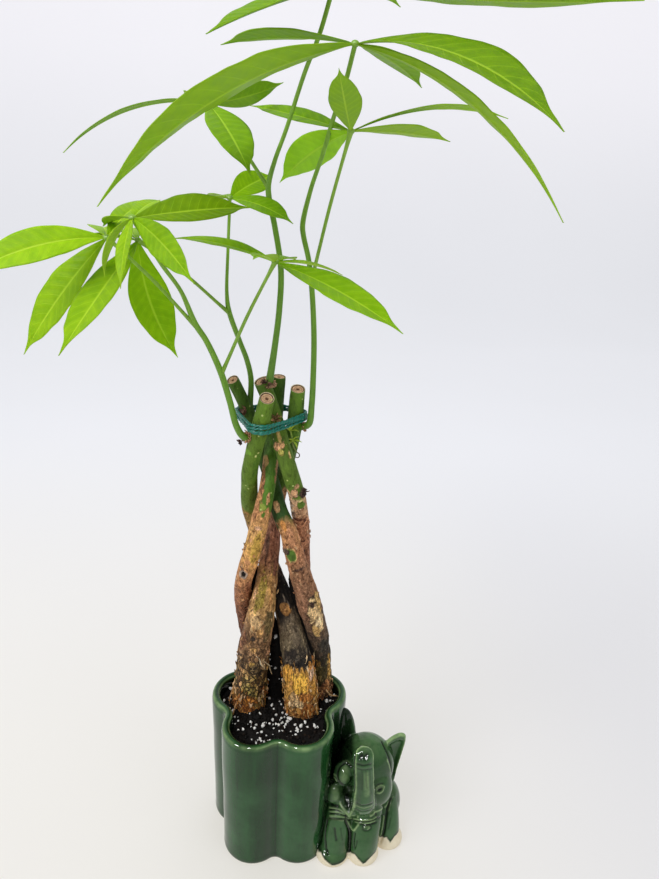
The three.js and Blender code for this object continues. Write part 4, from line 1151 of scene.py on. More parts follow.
# Patches on each trunk: height, angle from the front towards +X in degrees, half height and
# half width in millimetres, colour, and how far it stands out
TRUNK_PATCHES = {
    "centre": (
        (187.3, 6, 4.1, 3.8, "b98548", 0.25), (194, 24, 3.2, 0.35, "8f8272", 0.1),
        (190, 34, 2.6, 0.3, "7d7062", 0.1), (180.6, -54, 10.5, 1.4, "5d4a34", 0),
        (165.3, 27, 12, 3.5, "655845", 0), (155.3, -21, 4.5, 5.6, "3d332a", 0),
        (148.6, 24, 2.6, 8.4, "241d17", 0.2), (316.8, 33, 0.6, 0.7, "dfe08a", 0),
        (314.5, 18, 0.5, 0.5, "d9d98a", 0), (316, 87, 0.5, 0.5, "cfd27c", 0),
        (315.3, -48, 2.5, 3, "6f9a2e", 0), (324.4, -69, 3.8, 2.3, "c39468", 0.35),
        (263.7, -21, 1.4, 1.3, "b9884e", 0.1), (304, 48, 14.3, 2.4, "4d6f18", 0),
        (141.5, -39, 6.8, 5.7, "cf9636", 0.5), (134.4, 6, 9.1, 6.4, "d6a53c", 0.6),
        (127.2, 39, 10.7, 4.3, "c9903a", 0.5), (120.8, 18, 6.9, 6.4, "b9752e", 0.5),
        (121.6, -21, 6.1, 4.3, "d9b078", 0.5), (110.5, 27, 6.2, 5.8, "b56f2c", 0.4),
        (139.9, 57, 4.6, 3.6, "e0b996", 0.5), (119.2, -9, 3.8, 3.6, "e3c08c", 0.5),
    ),
    "left": (
        (206.8, -57, 3.6, 1.7, "e0b284", 0.2), (195.1, -45, 1.5, 1.3, "140c09", -0.9),
        (193.5, -24, 3.6, 4, "d9b076", 0.3), (187.2, -12, 6.5, 4.7, "dcb681", 0.35),
        (181.6, 9, 3.6, 2.7, "c99a5e", 0.2), (212.7, 21, 7.1, 1.5, "c99a58", 0.15),
        (204.5, 33, 4.3, 1.2, "b98850", 0.1), (209.8, -15, 10, 2.7, "8f7a2c", 0),
        (202.2, -30, 5.7, 2, "7f6d2c", 0), (187.2, 48, 11.6, 4.1, "67552f", 0),
        (161.2, 57, 3, 2.4, "cf9a70", 0.4), (150.2, -3, 5.3, 3.5, "8f6f2e", 0.3),
        (146.2, 15, 8, 4, "5e4a2c", 0.2), (127.2, -9, 5.4, 6.4, "a08c48", 0.3),
        (135, -22, 5, 4, "b49a58", 0.4), (140, 4, 4.6, 3, "a88c50", 0.4),
        (151, -24, 3.4, 3, "b08a5a", 0.4), (120.6, 24, 4, 4.6, "a89048", 0.3),
        (124.1, 45, 6.2, 3.6, "6b4a26", 0.2), (133.6, -42, 16.9, 2.5, "b98c58", 0.1),
        (166.7, -3, 2.9, 2.1, "c79a5e", 0.5), (152.5, 36, 4.5, 1.5, "dcb98a", 0.8),
        (115.3, -9, 5.4, 7.2, "c67f2f", 0.3), (108.9, -3, 3.9, 5.8, "b9702a", 0.2),
        (169.1, -63, 7.4, 4.1, "8f5f40", 0), (225, 45, 7.2, 2, "8a5a42", 0),
        (236.9, 9, 8.6, 2.7, "8d5c44", 0), (233.9, -18, 10, 1.3, "5f4030", 0),
        (176.1, -15, 2.2, 2, "2c2118", 0),
    ),
    "front": (
        (293.4, 9, 19.8, 4, "4f761c", 0), (281.5, 63, 10.7, 3.1, "4b711b", 0),
        (282.2, 18, 4, 1.1, "bb8f60", 0.25), (276.8, -9, 2, 2.5, "8a9a3c", 0),
        (301.9, -36, 2.7, 1.9, "b8925e", 0.1), (290.5, -39, 6, 1.2, "8f5f3a", 0.05),
        (263.5, -3, 1.3, 2.5, "d8a883", 0.1), (254.1, -36, 2, 1, "d09a6a", 0.1),
        (268.3, -69, 2.7, 1.9, "b98353", 0.1), (248.7, 15, 12.2, 3.2, "b08d3e", 0),
        (227.8, -15, 3.2, 3, "b09a88", 0.55), (227.8, -15, 1.9, 1.6, "0d0806", -1.3),
        (233.9, 78, 1.3, 1.2, "e6bd96", 0.2), (200.1, -3, 2.9, 1.8, "d09c6e", 0.25),
        (192.3, -12, 1, 0.8, "3a2218", -0.3), (190.2, 18, 1, 1.2, "241510", -0.5),
        (231.6, -42, 0.8, 1.9, "5b3a28", 0), (214.5, 42, 7.2, 2.7, "96603f", 0),
        (273.7, -48, 5.3, 1.9, "9b6a42", 0.1), (237.8, -15, 2.1, 2.6, "bd8658", 0.1),
    ),
    "back": (
        (317.2, -30, 1.7, 4.2, "cf9d70", 0.3), (317.2, 12, 1.3, 1.8, "c99868", 0.2),
        (321.5, 0, 3.2, 1.3, "a98f52", 0.1), (314.3, -12, 1.4, 1.8, "b0a650", 0.1),
        (312, 42, 2.2, 0.8, "c0a566", 0.1), (297.5, -30, 0.5, 0.6, "d8dc84", 0),
        (292.3, 21, 1.6, 1.8, "bd9468", 0.2), (288, -9, 4, 2.5, "c0946c", 0.2),
        (285.8, 48, 3.7, 2.8, "4a342c", 1.4), (285.1, 54, 1.7, 1.2, "1f1511", 0.6),
        (285.1, -57, 4.7, 2.5, "c9a27c", 0.1), (272, -69, 6.9, 3.8, "d8bfa6", 0.25),
        (277.1, 21, 3.4, 2.8, "5a7622", 0.1), (280.1, 39, 0.8, 3.1, "c7b97c", 0.15),
        (263.9, 0, 1.1, 5.8, "6b3f2a", 0.2), (263.1, 33, 2.1, 1.3, "5f3626", 0.5),
        (243.4, 0, 0.9, 3.3, "4a2b1e", -0.2), (234.8, 6, 1.3, 1.5, "3a241b", 0.4),
        (249.6, -24, 4.3, 1.3, "b98058", 0.05), (269, -39, 2.1, 1.3, "8a6a5a", 0),
    ),
    "right": (
        (270.2, -3, 3.4, 2, "c09c6c", 0.3), (244.2, -21, 5.1, 4.1, "b7a763", 0.1),
        (244.2, -18, 4.2, 3.3, "4c6c20", 0), (246.5, -42, 2.2, 2.9, "4d3b30", 0.7),
        (246.5, -63, 0.8, 1, "b9b0a4", 0.2), (260.2, -3, 2.7, 1.9, "b97d3c", 0.1),
        (254, 18, 5.4, 3.2, "a87550", 0.05), (234.1, -21, 4.1, 1.9, "7f5a3c", 0),
        (195, 34, 16.5, 6.2, "2e1d14", 0.1), (194, 30, 14.8, 5, "dcbc88", 0.5),
        (204, 58, 10, 2.6, "d0ac6a", 0.35), (179, 6, 7.5, 2.6, "cfa869", 0.3),
        (187, 26, 4.5, 2.4, "ecd2a2", 0.3), (205.2, 20, 2.6, 1.4, "38221a", 0.3),
        (234.1, 30, 0.7, 2.1, "4d3326", 0), (234.1, -3, 0.7, 1.9, "4d3326", 0),
        (211.3, -15, 9.9, 2, "8a6248", 0), (153.8, -78, 6.3, 7.3, "4a4030", 0),
        (158.4, 33, 6.9, 3.6, "3d372b", 0), (138.3, -24, 4.7, 2.9, "8f6c2c", 0.1),
        (129.6, -9, 6.4, 4.4, "5f5428", 0), (130.4, 51, 16, 1.8, "d8a650", 0.3),
        (113.6, 27, 6.4, 3.7, "b57a48", 0.3), (109.6, 3, 3.2, 3, "8a5a38", 0.2),
    ),
}
# Rings of a sawn top: share of its radius, how deep it lies, colour
SAWN_RINGS = (
    (0.98, -0.15, "bda984"), (0.92, -0.1, "e0cca8"), (0.89, 0.2, "33201a"), (0.8, 0.35, "3a241a"),
    (0.76, 0.15, "c89a78"), (0.6, 0.2, "dab28e"), (0.52, 0.3, "a07654"), (0.44, 0.25, "d0a888"),
    (0.26, 0.35, "b58a68"), (0.14, 0.65, "50301f"), (0.05, 0.7, "64402c"),
)
# How far each sawn top slopes down to the front, in degrees
SAWN_SLOPE = {"centre": 20, "left": 12, "front": 4, "back": 14, "right": 10}
# Heights under which each trunk's skin is frayed, and how flaky it is lower down
FRAYED_BELOW = {"centre": 147, "left": 117, "front": 104, "back": 104, "right": 113}
FLAKINESS = {"centre": (150, 175, 0.8), "left": (145, 200, 0.9), "front": (150, 240, 0.45),
             "back": (150, 250, 0.4), "right": (135, 215, 0.6)}


def paint_trunk(name, radius, run_z, angle, points):
    """Colours, relief and wear for a trunk's points: colour stops blended by height, their
    borders drawn out into spikes along the trunk, then patches, each an ellipse on the bark
    whose rim noise makes ragged, with a dark outline of painted shade where it stands out."""
    heights, colours = zip(*TRUNK_STOPS[name])
    stops = np.array([linear(colour) for colour in colours])
    spikes = layered(points * (1, 1, 0.13), 1.9, 51, 2)
    rough = smoothstep(260, 200, run_z)
    wander = run_z + 5 * layered(points, 14, 31, 3) + (1.2 + 6 * rough) * spikes
    tints = np.stack([np.interp(wander, heights, stops[:, k]) for k in range(3)], axis=1)
    relief = np.zeros(len(points))
    for height, facing, half_height, half_width, colour, stands in TRUNK_PATCHES[name]:
        turn = (angle - math.radians(facing) + math.pi) % (2 * math.pi) - math.pi
        far = np.hypot((run_z - height) / half_height, turn * radius / half_width)
        mask = smoothstep(1.1, 0.9, far + 0.34 * layered(points, 3.2, 41, 3) + 0.12 * spikes)
        tints = tints * (1 - mask[:, None]) + linear(colour) * mask[:, None]
        # Painted shade: a dark ring round a patch that stands out from the bark
        outline = 4 * mask * (1 - mask) * min(abs(stands) * 2, 0.6)
        tints *= 1 - outline[:, None]
        relief += stands * mask
    top = FRAYED_BELOW[name]
    frayed = smoothstep(top + 1, top - 1, wander) * (1 - 0.7 * smoothstep(130, 121, wander))
    low, high, most = FLAKINESS[name]
    flaky = most * smoothstep(high, low, wander) * (1 - 0.85 * frayed)
    relief += 0.55 * frayed * (1 + 0.7 * spikes)
    relief += flaky * (0.9 * np.abs(layered(points * (1, 1, 0.6), 3.1, 61, 2)) - 0.25)
    brown = smoothstep(-0.03, 0.05, tints[:, 0] - tints[:, 1])
    return tints, relief, np.stack([flaky, frayed, brown], axis=1)


def trunk_mesh(name):
    """A trunk: rings carried along its path, with bark furrows that run along it, and a sawn
    top that steps in to the middle in rings of wood."""
    step, around = ((0.7, 96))
    path, run = smooth_curve(TRUNKS[name], step)
    tangent, first, second = across_path(path[:, :3])
    angle = full_turn(around)
    rows = len(path)
    radius = np.repeat(path[:, 3], around)
    run_z = np.repeat(path[:, 2], around)
    angles = np.tile(angle, rows)
    ring = spun(first, second, angle)
    flat = (path[:, None, :3] + ring * path[:, None, 3:]).reshape(-1, 3)
    unrolled = np.stack([np.cos(angles) * radius, np.sin(angles) * radius,
                         np.repeat(run, around) * 0.3], 1)
    tints, relief, wear = paint_trunk(name, radius, run_z, angles, flat)
    rough = smoothstep(290, 190, run_z)
    furrow = layered(unrolled, 2.4, 7, 3)
    lumps = noise(flat, 13, 17)
    relief += (0.12 + 0.33 * rough) * furrow + (0.1 + 0.35 * rough) * lumps - 0.35
    saw = smoothstep(run[-1] - 0.9, run[-1], np.repeat(run, around))
    relief = relief * (1 - saw) - 0.4 * saw
    tints *= (1 + 0.35 * np.clip(furrow, -1, 1) * rough + 0.16 * wear[:, 2])[:, None]
    flat += (ring.reshape(-1, 3)) * relief[:, None]
    top = smoothstep(run[-1] - 7, run[-1], np.repeat(run, around))
    slope = math.tan(math.radians(SAWN_SLOPE[name]))
    flat -= (slope * top * radius * np.cos(angles))[:, None] * np.repeat(tangent, around, axis=0)
    rim = flat.reshape(rows, around, 3)[-1]
    centre = path[-1, :3]
    shares, sunk, colours = zip(*SAWN_RINGS)
    shares, sunk = (np.array(k)[:, None, None] for k in (shares, sunk))
    face = centre + shares * (rim - centre) - sunk * tangent[-1]
    sawn = np.repeat([linear(colour) for colour in colours], around, axis=0)
    sawn *= (1 + 0.18 * noise(face.reshape(-1, 3), 0.8, 3))[:, None]
    grid = np.concatenate([flat.reshape(rows, around, 3), face])
    tints = np.vstack([tints, sawn])
    poles = np.stack([path[0, :3], centre - 0.8 * tangent[-1]])
    surface = Surface()
    v = np.concatenate([run, run[-1] + np.arange(1, len(shares) + 1)]) * MM
    surface.grid(grid, v=v, tints=tints, poles=poles)
    mesh = surface.mesh(f"trunk_{name}_bark")
    full = np.zeros((len(mesh.vertices), 3))
    full[:len(wear)] = wear
    set_tint(mesh, full, "Wear")
    return mesh


def add_stem(surface, points, tints, step=0.9, around=14):
    """A round stem along a curve through the points, its colours blended from foot to tip."""
    path, run = smooth_curve(points, step)
    mean = path[-1, :3] - path[0, :3]
    facing = (0, -1, 0) if abs(mean[1]) < 0.8 * np.linalg.norm(mean) else (0, 0, 1)
    stops = np.linspace(0, 1, len(tints))
    column = np.stack([np.interp(run / run[-1], stops, shade)
                       for shade in zip(*(linear(colour) for colour in tints))], axis=1)
    surface.tube(path[:, :3], path[:, 3], around, np.repeat(column, around, axis=0), facing,
                 run * MM)


def add_blade(surface, hub, shape, tint, rows=60, columns=15, thickness=0.38):
    """One leaflet, top and underside. Its midrib is a circular arc from the hub to the tip. The
    half width is half the width times sin(pi t^1.1)^0.9 (1 - 0.4 t^4), drawn in to a stalk at
    the foot and to a thin drip tip at the end. Both halves rise from the midrib by 0.16 of their
    reach. The midrib is a groove, the blade swells between its side veins, and its margin waves a
    little."""
    tip, (width, arch, roll) = np.array(shape[:3], float), shape[3:]
    hub = np.array(hub, float)
    chord = tip - hub
    length = np.linalg.norm(chord)
    up = np.array([0, 0, 1.0])
    forward = chord * (1, 1, 0) / np.linalg.norm(chord[:2])
    sideways = np.cross(up, forward)
    bend = math.radians(arch)
    spread = length / (2 * math.sin(bend))
    start = math.asin(chord[2] / length) + bend
    t = np.linspace(0, 1, rows)
    pitch = start - 2 * bend * t
    middle = (hub + forward * (spread * (math.sin(start) - np.sin(pitch)))[:, None]
              + up * (spread * (np.cos(pitch) - math.cos(start)))[:, None])
    along = forward * np.cos(pitch)[:, None] + up * np.sin(pitch)[:, None]
    turn = math.radians(roll)
    across = sideways * math.cos(turn) + np.cross(along, sideways) * math.sin(turn)
    normal = np.cross(along, across)
    half = width / 2 * np.sin(np.pi * np.clip(t, 0, 1) ** 1.1) ** 0.9 * (1 - 0.4 * t ** 4)
    half = half * (1 - 0.5 * smoothstep(0.8, 0.94, t))
    half = np.maximum(half, 0.55 * (1 - t) + 0.12)
    s = np.linspace(1, -1, columns)
    seed = int(abs(tip @ (3, 7, 11))) % 997
    wave = noise(np.stack([t * length / 9, np.full(rows, seed), np.zeros(rows)], 1), 1, seed)
    ripple = noise(np.stack([t * length / 5, np.full(rows, seed + 9), np.ones(rows)], 1), 1, seed)
    reach = half[:, None] * (1 + 0.03 * ripple[:, None] * (np.abs(s) > 0.9)) * s
    out = np.abs(s)[None]
    half = half[:, None]
    phase = VEIN_PAIRS * (t[:, None] - VEIN_BEND * out ** VEIN_CURVE) + VEIN_STAGGER * (s > 0)
    quilt = 0.16 * np.cos(2 * np.pi * phase) * out * (1 - out ** 4) * np.minimum(half / 6, 1)
    lift = 0.16 * out * half - 0.35 * np.exp(-(out * half / 0.7) ** 2)
    lift = lift + 0.035 * half * wave[:, None] * out ** 2 - quilt
    place = lambda height, k: (middle[:, None] + across[:, None] * reach[:, k, None]
                               + normal[:, None] * (lift + height)[:, k, None])
    order = np.arange(columns)
    top = place(thickness / 2, order)
    below = place(-thickness / 2, order[::-1])
    grid = np.concatenate([top, below], axis=1)
    u = np.concatenate([(1 - s) / 2, 2 + (1 - s[::-1]) / 2, [3.0]])
    poles = np.stack([middle[0] - along[0] * 0.4, middle[-1] + along[-1] * 0.4])
    surface.grid(grid, u, t, tint, poles)


# Leaf colours of each shoot
LEAF_TINTS = {
    "left_shoot": ("92bc0a", "8ab508", "94bc0e"), "back_left_shoot": ("8ab40a", "7fab08", "90b80e"),
    "back_shoot": ("7da80c", "85ae0e", "76a008"), "right_shoot": ("7ea90c", "88b210", "78a40a"),
}


def shoot_meshes(name):
    """A shoot's stems and its blades, as two meshes."""
    stem, leaves = SHOOTS[name]
    stems, blades = Surface(), Surface()
    add_stem(stems, stem, ("5a861a", "689820", "74a426", "80ae2e", "8cb836"))
    rng = np.random.default_rng(len(name))
    for foot, hub, leaflets in leaves:
        foot, hub_at = np.array(foot, float), np.array(hub, float)
        span = hub_at - foot
        length = np.linalg.norm(span)
        if length > 4:
            middle = foot + span / 2 + (0, 0, 0.03 * length)
            points = [(*foot, 1.35), (*(foot + span * 0.12 + (0, 0, 0.4)), 1.05),
                      (*middle, 0.95), (*(foot + span * 0.9 + (0, 0, 0.5)), 1.0), (*hub_at, 1.5)]
            add_stem(stems, points, ("7ca62c", "86b034", "90ba3c"), 1.2, 12)
        stems.ball(hub_at, HUB_AXES, linear("8cb640"), rows=12, columns=18)
        for shape in leaflets:
            tint = linear(LEAF_TINTS[name][rng.integers(3)]) * (*shape[6:], 1)[0]
            add_blade(blades, hub, shape[:6], tint)
    return stems.mesh(f"{name}_stems"), blades.mesh(f"{name}_leaves")


def on_trunk(name, heights, facings):
    """Places on a trunk's skin at heights and at angles from the front towards +X, with the
    outward and the upward direction there."""
    path, _ = smooth_curve(TRUNKS[name], 1.0)
    tangent, first, second = across_path(path[:, :3])
    k = np.searchsorted(path[:, 2], heights).clip(0, len(path) - 1)
    angle = np.radians(facings)[:, None]
    out = first[k] * np.cos(angle) + second[k] * np.sin(angle)
    return path[k, :3] + out * path[k, 3:], out, tangent[k]


# Peeling strips: trunk, lowest and highest place, count, longest and colours
STRIPS = (
    ("centre", 107, 150, 90, 7.5, ("e2bd7a", "c98f42", "b9742e", "eccb9c")),
    ("left", 106, 128, 46, 5, ("c9853e", "a8662c", "e0b98c")),
    ("right", 101, 116, 34, 5, ("b98452", "8a5a38", "d2a878")),
    ("front", 101, 112, 10, 4, ("8a5a40", "a8744f")),
    ("back", 105, 112, 8, 4, ("7a5038", "98684a")),
    ("left", 140, 215, 40, 3, ("d9b27c", "c1905a", "8a6238")),
    ("front", 200, 262, 26, 2.4, ("d3a87c", "b98352")),
    ("right", 205, 262, 24, 2.6, ("cfa67c", "a8744c")),
    ("back", 235, 288, 22, 2.6, ("d8b48e", "b98660")),
)
# Collars of dry scales where shoots and old buds sat: middle, the way they point, radius,
# count, length and colour
COLLARS = (
    ((-22.4, -16.2, 325), (-0.7, -0.7, 0.2), 1.7, 15, 4.2, "b98a68"),
    ((-26.2, -17, 322.4), (-0.8, -0.6, -0.2), 0.5, 7, 2.6, "3c2218"),
    ((-26.2, 4.2, 333.5), (-0.8, -0.5, 0.3), 1.8, 14, 4, "7a5644"),
    ((-10.8, -1.6, 352.6), (0.1, -0.3, 0.95), 2.3, 18, 3.8, "ab8468"),
    ((-13, -4.8, 355.4), (-0.3, -0.6, 0.7), 0.7, 8, 3, "452820"),
    ((10.6, 4.6, 325.2), (0.8, -0.4, 0.1), 1.9, 14, 3.6, "a87c5c"),
    ((-6.2, -8.2, 334.6), (0.1, -0.9, 0.3), 1.2, 9, 3.2, "a8845c"),
    ((11.4, -8.6, 286), (0.7, -0.7, 0), 1.3, 10, 3, "4a3028"),
    ((-2.5, -10.8, 318), (-0.1, -0.95, 0.2), 2, 10, 3, "b58c62"),
)
# Bare roots: colour, then x, y, z and radius along them
ROOTS = (
    ("e2cca6", ((-11.4, -6.4, 153, 0.25), (-9.6, -4, 149, 0.32), (-7.6, -0.6, 144, 0.34),
                (-7.4, 2, 139, 0.3), (-6, 3.6, 133, 0.25))),
    ("ead8b4", ((-16.4, -10.6, 160.7, 0.25), (-14.2, -9.8, 157, 0.3), (-13.4, -8.8, 152, 0.32),
                (-11.2, -6.4, 148, 0.28), (-10.6, -5, 144, 0.2))),
    ("b98c5c", ((-33.2, 2, 124.6, 0.4), (-34.6, 0.6, 119, 0.45), (-36.4, 1, 111, 0.4),
                (-36.6, 4, 103.6, 0.3))),
    ("c8a474", ((34.4, 10, 113, 0.6), (38, 9.2, 108.4, 0.65), (42, 10.8, 106.4, 0.5),
                (45, 12, 104, 0.35))),
    ("b4885a", ((-30.6, -0.6, 112, 0.4), (-32.4, -4, 107, 0.45), (-33.6, -8, 104, 0.35))),
)
# A young sprout on the left trunk: its stem, then leaflets as the one the shoots have
SPROUT = ((1.6, 1.6, 326, 0.5), (3.4, -0.4, 320.4, 0.5), (4.4, -0.4, 314, 0.42),
          (6.6, 1.8, 309, 0.36), (8.6, 3.4, 306.4, 0.34), (8.2, 4, 304.2, 0.32),
          (6.4, 3, 304.6, 0.3), (6, 2, 306.8, 0.26))
SPROUT_LEAVES = (
    (2.4, 0.4, 323.4, ((-2, -3.6, 327, 1.7, 20, 0), (1.4, -3.6, 329, 1.7, 16, 10),
                       (5.6, -2.6, 328.4, 1.8, 18, -10), (7.6, -1.6, 324.2, 1.6, 24, 0))),
    (3.9, -0.6, 317.6, ((7.6, -3.2, 321.2, 1.8, 20, 0), (9.6, -1.8, 317.2, 1.7, 16, 10),
                        (7.4, -3.6, 313.6, 1.6, 20, -10), (0.8, -4.4, 319.6, 1.6, 20, 10),
                        (1, -4.4, 315, 1.5, 18, 0))),
)


def add_flake(surface, foot, tip, width, arch, roll, tint):
    """A dry scale or strip: a leaflet of few faces."""
    add_blade(surface, foot, (*tip, width, arch, roll), tint, 7, 3, 0.3)


def strips_mesh():
    """Strips that have come loose from the bark: each hangs from one end, lies along the trunk
    and lifts away from it at the other end."""
    surface = Surface()
    rng = np.random.default_rng(12)
    for name, low, high, count, longest, colours in STRIPS:
        facings = rng.uniform(-105, 105, count)
        places, out, up = on_trunk(name, rng.uniform(low, high, count), facings)
        reach = rng.uniform(0.35, 1, count) * longest
        lift = rng.uniform(0.08, 0.4, count)
        way = np.where(rng.uniform(0, 1, count) < 0.6, -1, 1)
        lean = np.cross(out, up) * rng.normal(0, 0.3, count)[:, None]
        ends = places + (up * way[:, None] + lean + out * lift[:, None]) * reach[:, None]
        ends[:, 2] = np.maximum(ends[:, 2], SOIL_LEVEL - 1)
        for k in range(count):
            tint = linear(colours[rng.integers(len(colours))]) * rng.uniform(0.75, 1.15)
            width = rng.uniform(0.7, 2) * (1.25 if longest > 4 else 0.8)
            add_flake(surface, places[k] - 0.2 * out[k], ends[k], width,
                      rng.uniform(8, 30) * rng.choice((-1, 1)), rng.uniform(-35, 35), tint)
    return surface.mesh("bark_strips")


def collars_mesh():
    """Rings of dry scales: each scale stands on the ring and leans outwards, the way the collar
    points."""
    surface = Surface()
    rng = np.random.default_rng(8)
    for middle, way, radius, count, length, colour in COLLARS:
        way = np.array(way) / np.linalg.norm(way)
        first = np.cross(way, (0.2, 0.3, 1))
        first /= np.linalg.norm(first)
        second = np.cross(way, first)
        angle = 2 * math.pi * (np.arange(count) + rng.uniform(-0.3, 0.3, count)) / count
        spin = np.cos(angle)[:, None] * first + np.sin(angle)[:, None] * second
        feet = middle + spin * radius
        reach = length * rng.uniform(0.6, 1.1, count)[:, None]
        tips = feet + reach * (spin * rng.uniform(0.3, 0.8, count)[:, None] + way * 0.6)
        tips += rng.normal(0, 0.25, tips.shape)
        for k in range(count):
            add_flake(surface, feet[k], tips[k], rng.uniform(1.2, 2.4), 25 * rng.choice((-1, 1)),
                      rng.uniform(-60, 60), linear(colour) * rng.uniform(0.6, 1.5))
        surface.ball(middle, (radius,) * 3, linear(colour) * 0.55, rows=10, columns=14)
    return surface.mesh("dry_scales")


def roots_mesh():
    """Thin roots that leave the trunks' feet and dip into the soil."""
    surface = Surface()
    for colour, points in ROOTS:
        add_stem(surface, points, (colour, colour), 0.8, 8)
    return surface.mesh("bare_roots")


def sprout_mesh():
    """The sprout's curled stem and its small leaflets."""
    surface = Surface()
    add_stem(surface, SPROUT, ("a8c048", "9cb848", "8a8a3c", "6b5a34", "5a4a30"), 0.5, 8)
    for x, y, z, leaflets in SPROUT_LEAVES:
        for shape in leaflets:
            add_blade(surface, (x, y, z), shape, linear("b4cc3c"), 12, 5, 0.3)
    return surface.mesh("young_sprout")


def tie_posts():
    """Each trunk's place and radius where it crosses the tie, the radius grown for its lean."""
    posts = []
    for points in TRUNKS.values():
        path, _ = smooth_curve(points, 1.0)
        k = int(np.argmin(np.abs(path[:, 2] - TIE_LEVEL)))
        lean = np.hypot(*(path[k + 1, :2] - path[k - 1, :2])) / (path[k + 1, 2] - path[k - 1, 2])
        radius = path[k, 3] * math.hypot(1, lean) + TIE_HALF_HEIGHT * lean
        posts.append((*path[k, :2], radius))
    return np.array(posts)


def tie_mesh():
    """Four turns of twine, each drawn taut round the trunks: at each heading it lies just
    outside the trunk that reaches furthest that way. The turns fan out in front, draw together
    at the sides and ride up and down on each other."""
    posts = tie_posts()
    heading = np.linspace(0, 2 * math.pi, 181)
    out = np.stack([np.cos(heading), np.sin(heading)], 1)
    reach = posts[:, :2] @ out.T + posts[:, 2:]
    post = posts[np.argmax(reach, axis=0)]
    base = post[:, :2] + out * (post[:, 2:] + TIE_CLEARANCE)
    run = np.concatenate([[0], np.cumsum(np.linalg.norm(np.diff(base, axis=0), axis=1))])
    even = np.linspace(0, run[-1], TIE_STEPS + 1)[:-1]
    base = np.stack([np.interp(even, run, base[:, k]) for k in range(2)], 1)
    out = np.stack([np.interp(even, run, out[:, k]) for k in range(2)], 1)
    turn = 2 * math.pi * even / run[-1]
    surface = Surface()
    for strand in range(TIE_TURNS):
        fan = 1.15 - 0.35 * out[:, 1]
        rise = (strand - (TIE_TURNS - 1) / 2) * fan + 0.45 * np.sin(2 * turn + 2.1 * strand)
        lift = TIE_STRAND_RADIUS * (0.9 + 0.4 * np.sin(3 * turn + 1.7 * strand))
        path = np.column_stack([base + out * lift[:, None], TIE_LEVEL + rise])
        for offset in (0, math.pi):
            tube = path.copy()
            angle = even / PLY_PITCH + offset
            tube[:, :2] += out * (PLY_OFFSET * np.cos(angle))[:, None]
            tube[:, 2] += PLY_OFFSET * np.sin(angle)
            closed_strand(surface, tube, PLY_RADIUS, 10, even)
    return surface.mesh("tie_twine")


def closed_strand(surface, path, radius, around, run):
    """A ring-shaped tube: its path ends where it starts, so its last ring joins its first."""
    tangent = np.roll(path, -1, axis=0) - np.roll(path, 1, axis=0)
    tangent /= np.linalg.norm(tangent, axis=1, keepdims=True)
    first = np.cross(tangent, (0, 0, 1.0))
    first /= np.linalg.norm(first, axis=1, keepdims=True)
    second = np.cross(tangent, first)
    rings = path[:, None] + radius * spun(first, second, full_turn(around))
    rows = len(path)
    i, j = (k.ravel() for k in np.meshgrid(np.arange(rows), np.arange(around), indexing="ij"))
    after, above = (j + 1) % around, (i + 1) % rows
    faces = np.stack([i * around + j, i * around + after, above * around + after,
                      above * around + j], axis=1)
    u, v = j / around, run[i] * MM
    step = (run[1] - run[0]) * MM
    maps = np.stack([np.stack([u, v], 1), np.stack([u + 1 / around, v], 1),
                     np.stack([u + 1 / around, v + step], 1), np.stack([u, v + step], 1)], 1)
    surface.add(rings.reshape(-1, 3), faces, maps, np.ones(3))


# Camera: place in metres, then pitch down, yaw towards +X and roll in degrees
CAMERA_PLACE = (0.004, -0.3719, 0.4667)
CAMERA_TURN = (21.696, 3.506, 2.981)
# Lights: name, the setting that holds its power and the share it takes, width and place
LIGHTS = (
    ("Key", "key_power", 1, 1.2, (-1.1, -0.9, 1.5)),
    ("Fill", "fill_power", 0.75, 1.4, (1.3, -1.0, 0.9)),
    ("Top", "fill_power", 1, 1.2, (0.1, 0.3, 1.8)),
    ("Window", "window_power", 1, 0.24, (-0.3, -0.8, 1.25)),
    ("Left window", "window_power", 1, 0.22, (-1.0, -0.6, 1.1)),
)
LIT_PLACE = (0, 0, 0.25)


def camera_matrix(location, pitch, yaw, roll):
    """The camera's place and turn from its pitch down, yaw towards +X and roll, in degrees."""
    pitch, yaw, roll = (math.radians(angle) for angle in (pitch, yaw, roll))
    ahead = Vector((math.sin(yaw) * math.cos(pitch), math.cos(yaw) * math.cos(pitch),
                    -math.sin(pitch)))
    level = Vector((math.cos(yaw), -math.sin(yaw), 0))
    above = level.cross(ahead)
    right = math.cos(roll) * level + math.sin(roll) * above
    up = -math.sin(roll) * level + math.cos(roll) * above
    turned = Matrix((right, up, -ahead)).transposed()
    return Matrix.Translation(location) @ turned.to_4x4()


def floor_mesh():
    """A pale sheet that lies flat and curves up behind, in metres: its profile is carried along
    X."""
    angle = np.linspace(0, math.pi / 2, 24)
    bend = np.stack([1.6 + 0.9 * np.sin(angle), 0.9 - 0.9 * np.cos(angle)], 1)
    profile = np.vstack([[(-3.0, 0)], bend, [(2.5, 3.5)]])
    x = np.linspace(-3.5, 3.5, 3)
    grid = np.stack(np.broadcast_arrays(x[None], profile[:, :1], profile[:, 1:]), axis=2)
    surface = Surface()
    surface.grid(grid)
    return surface.mesh("backdrop", 1)


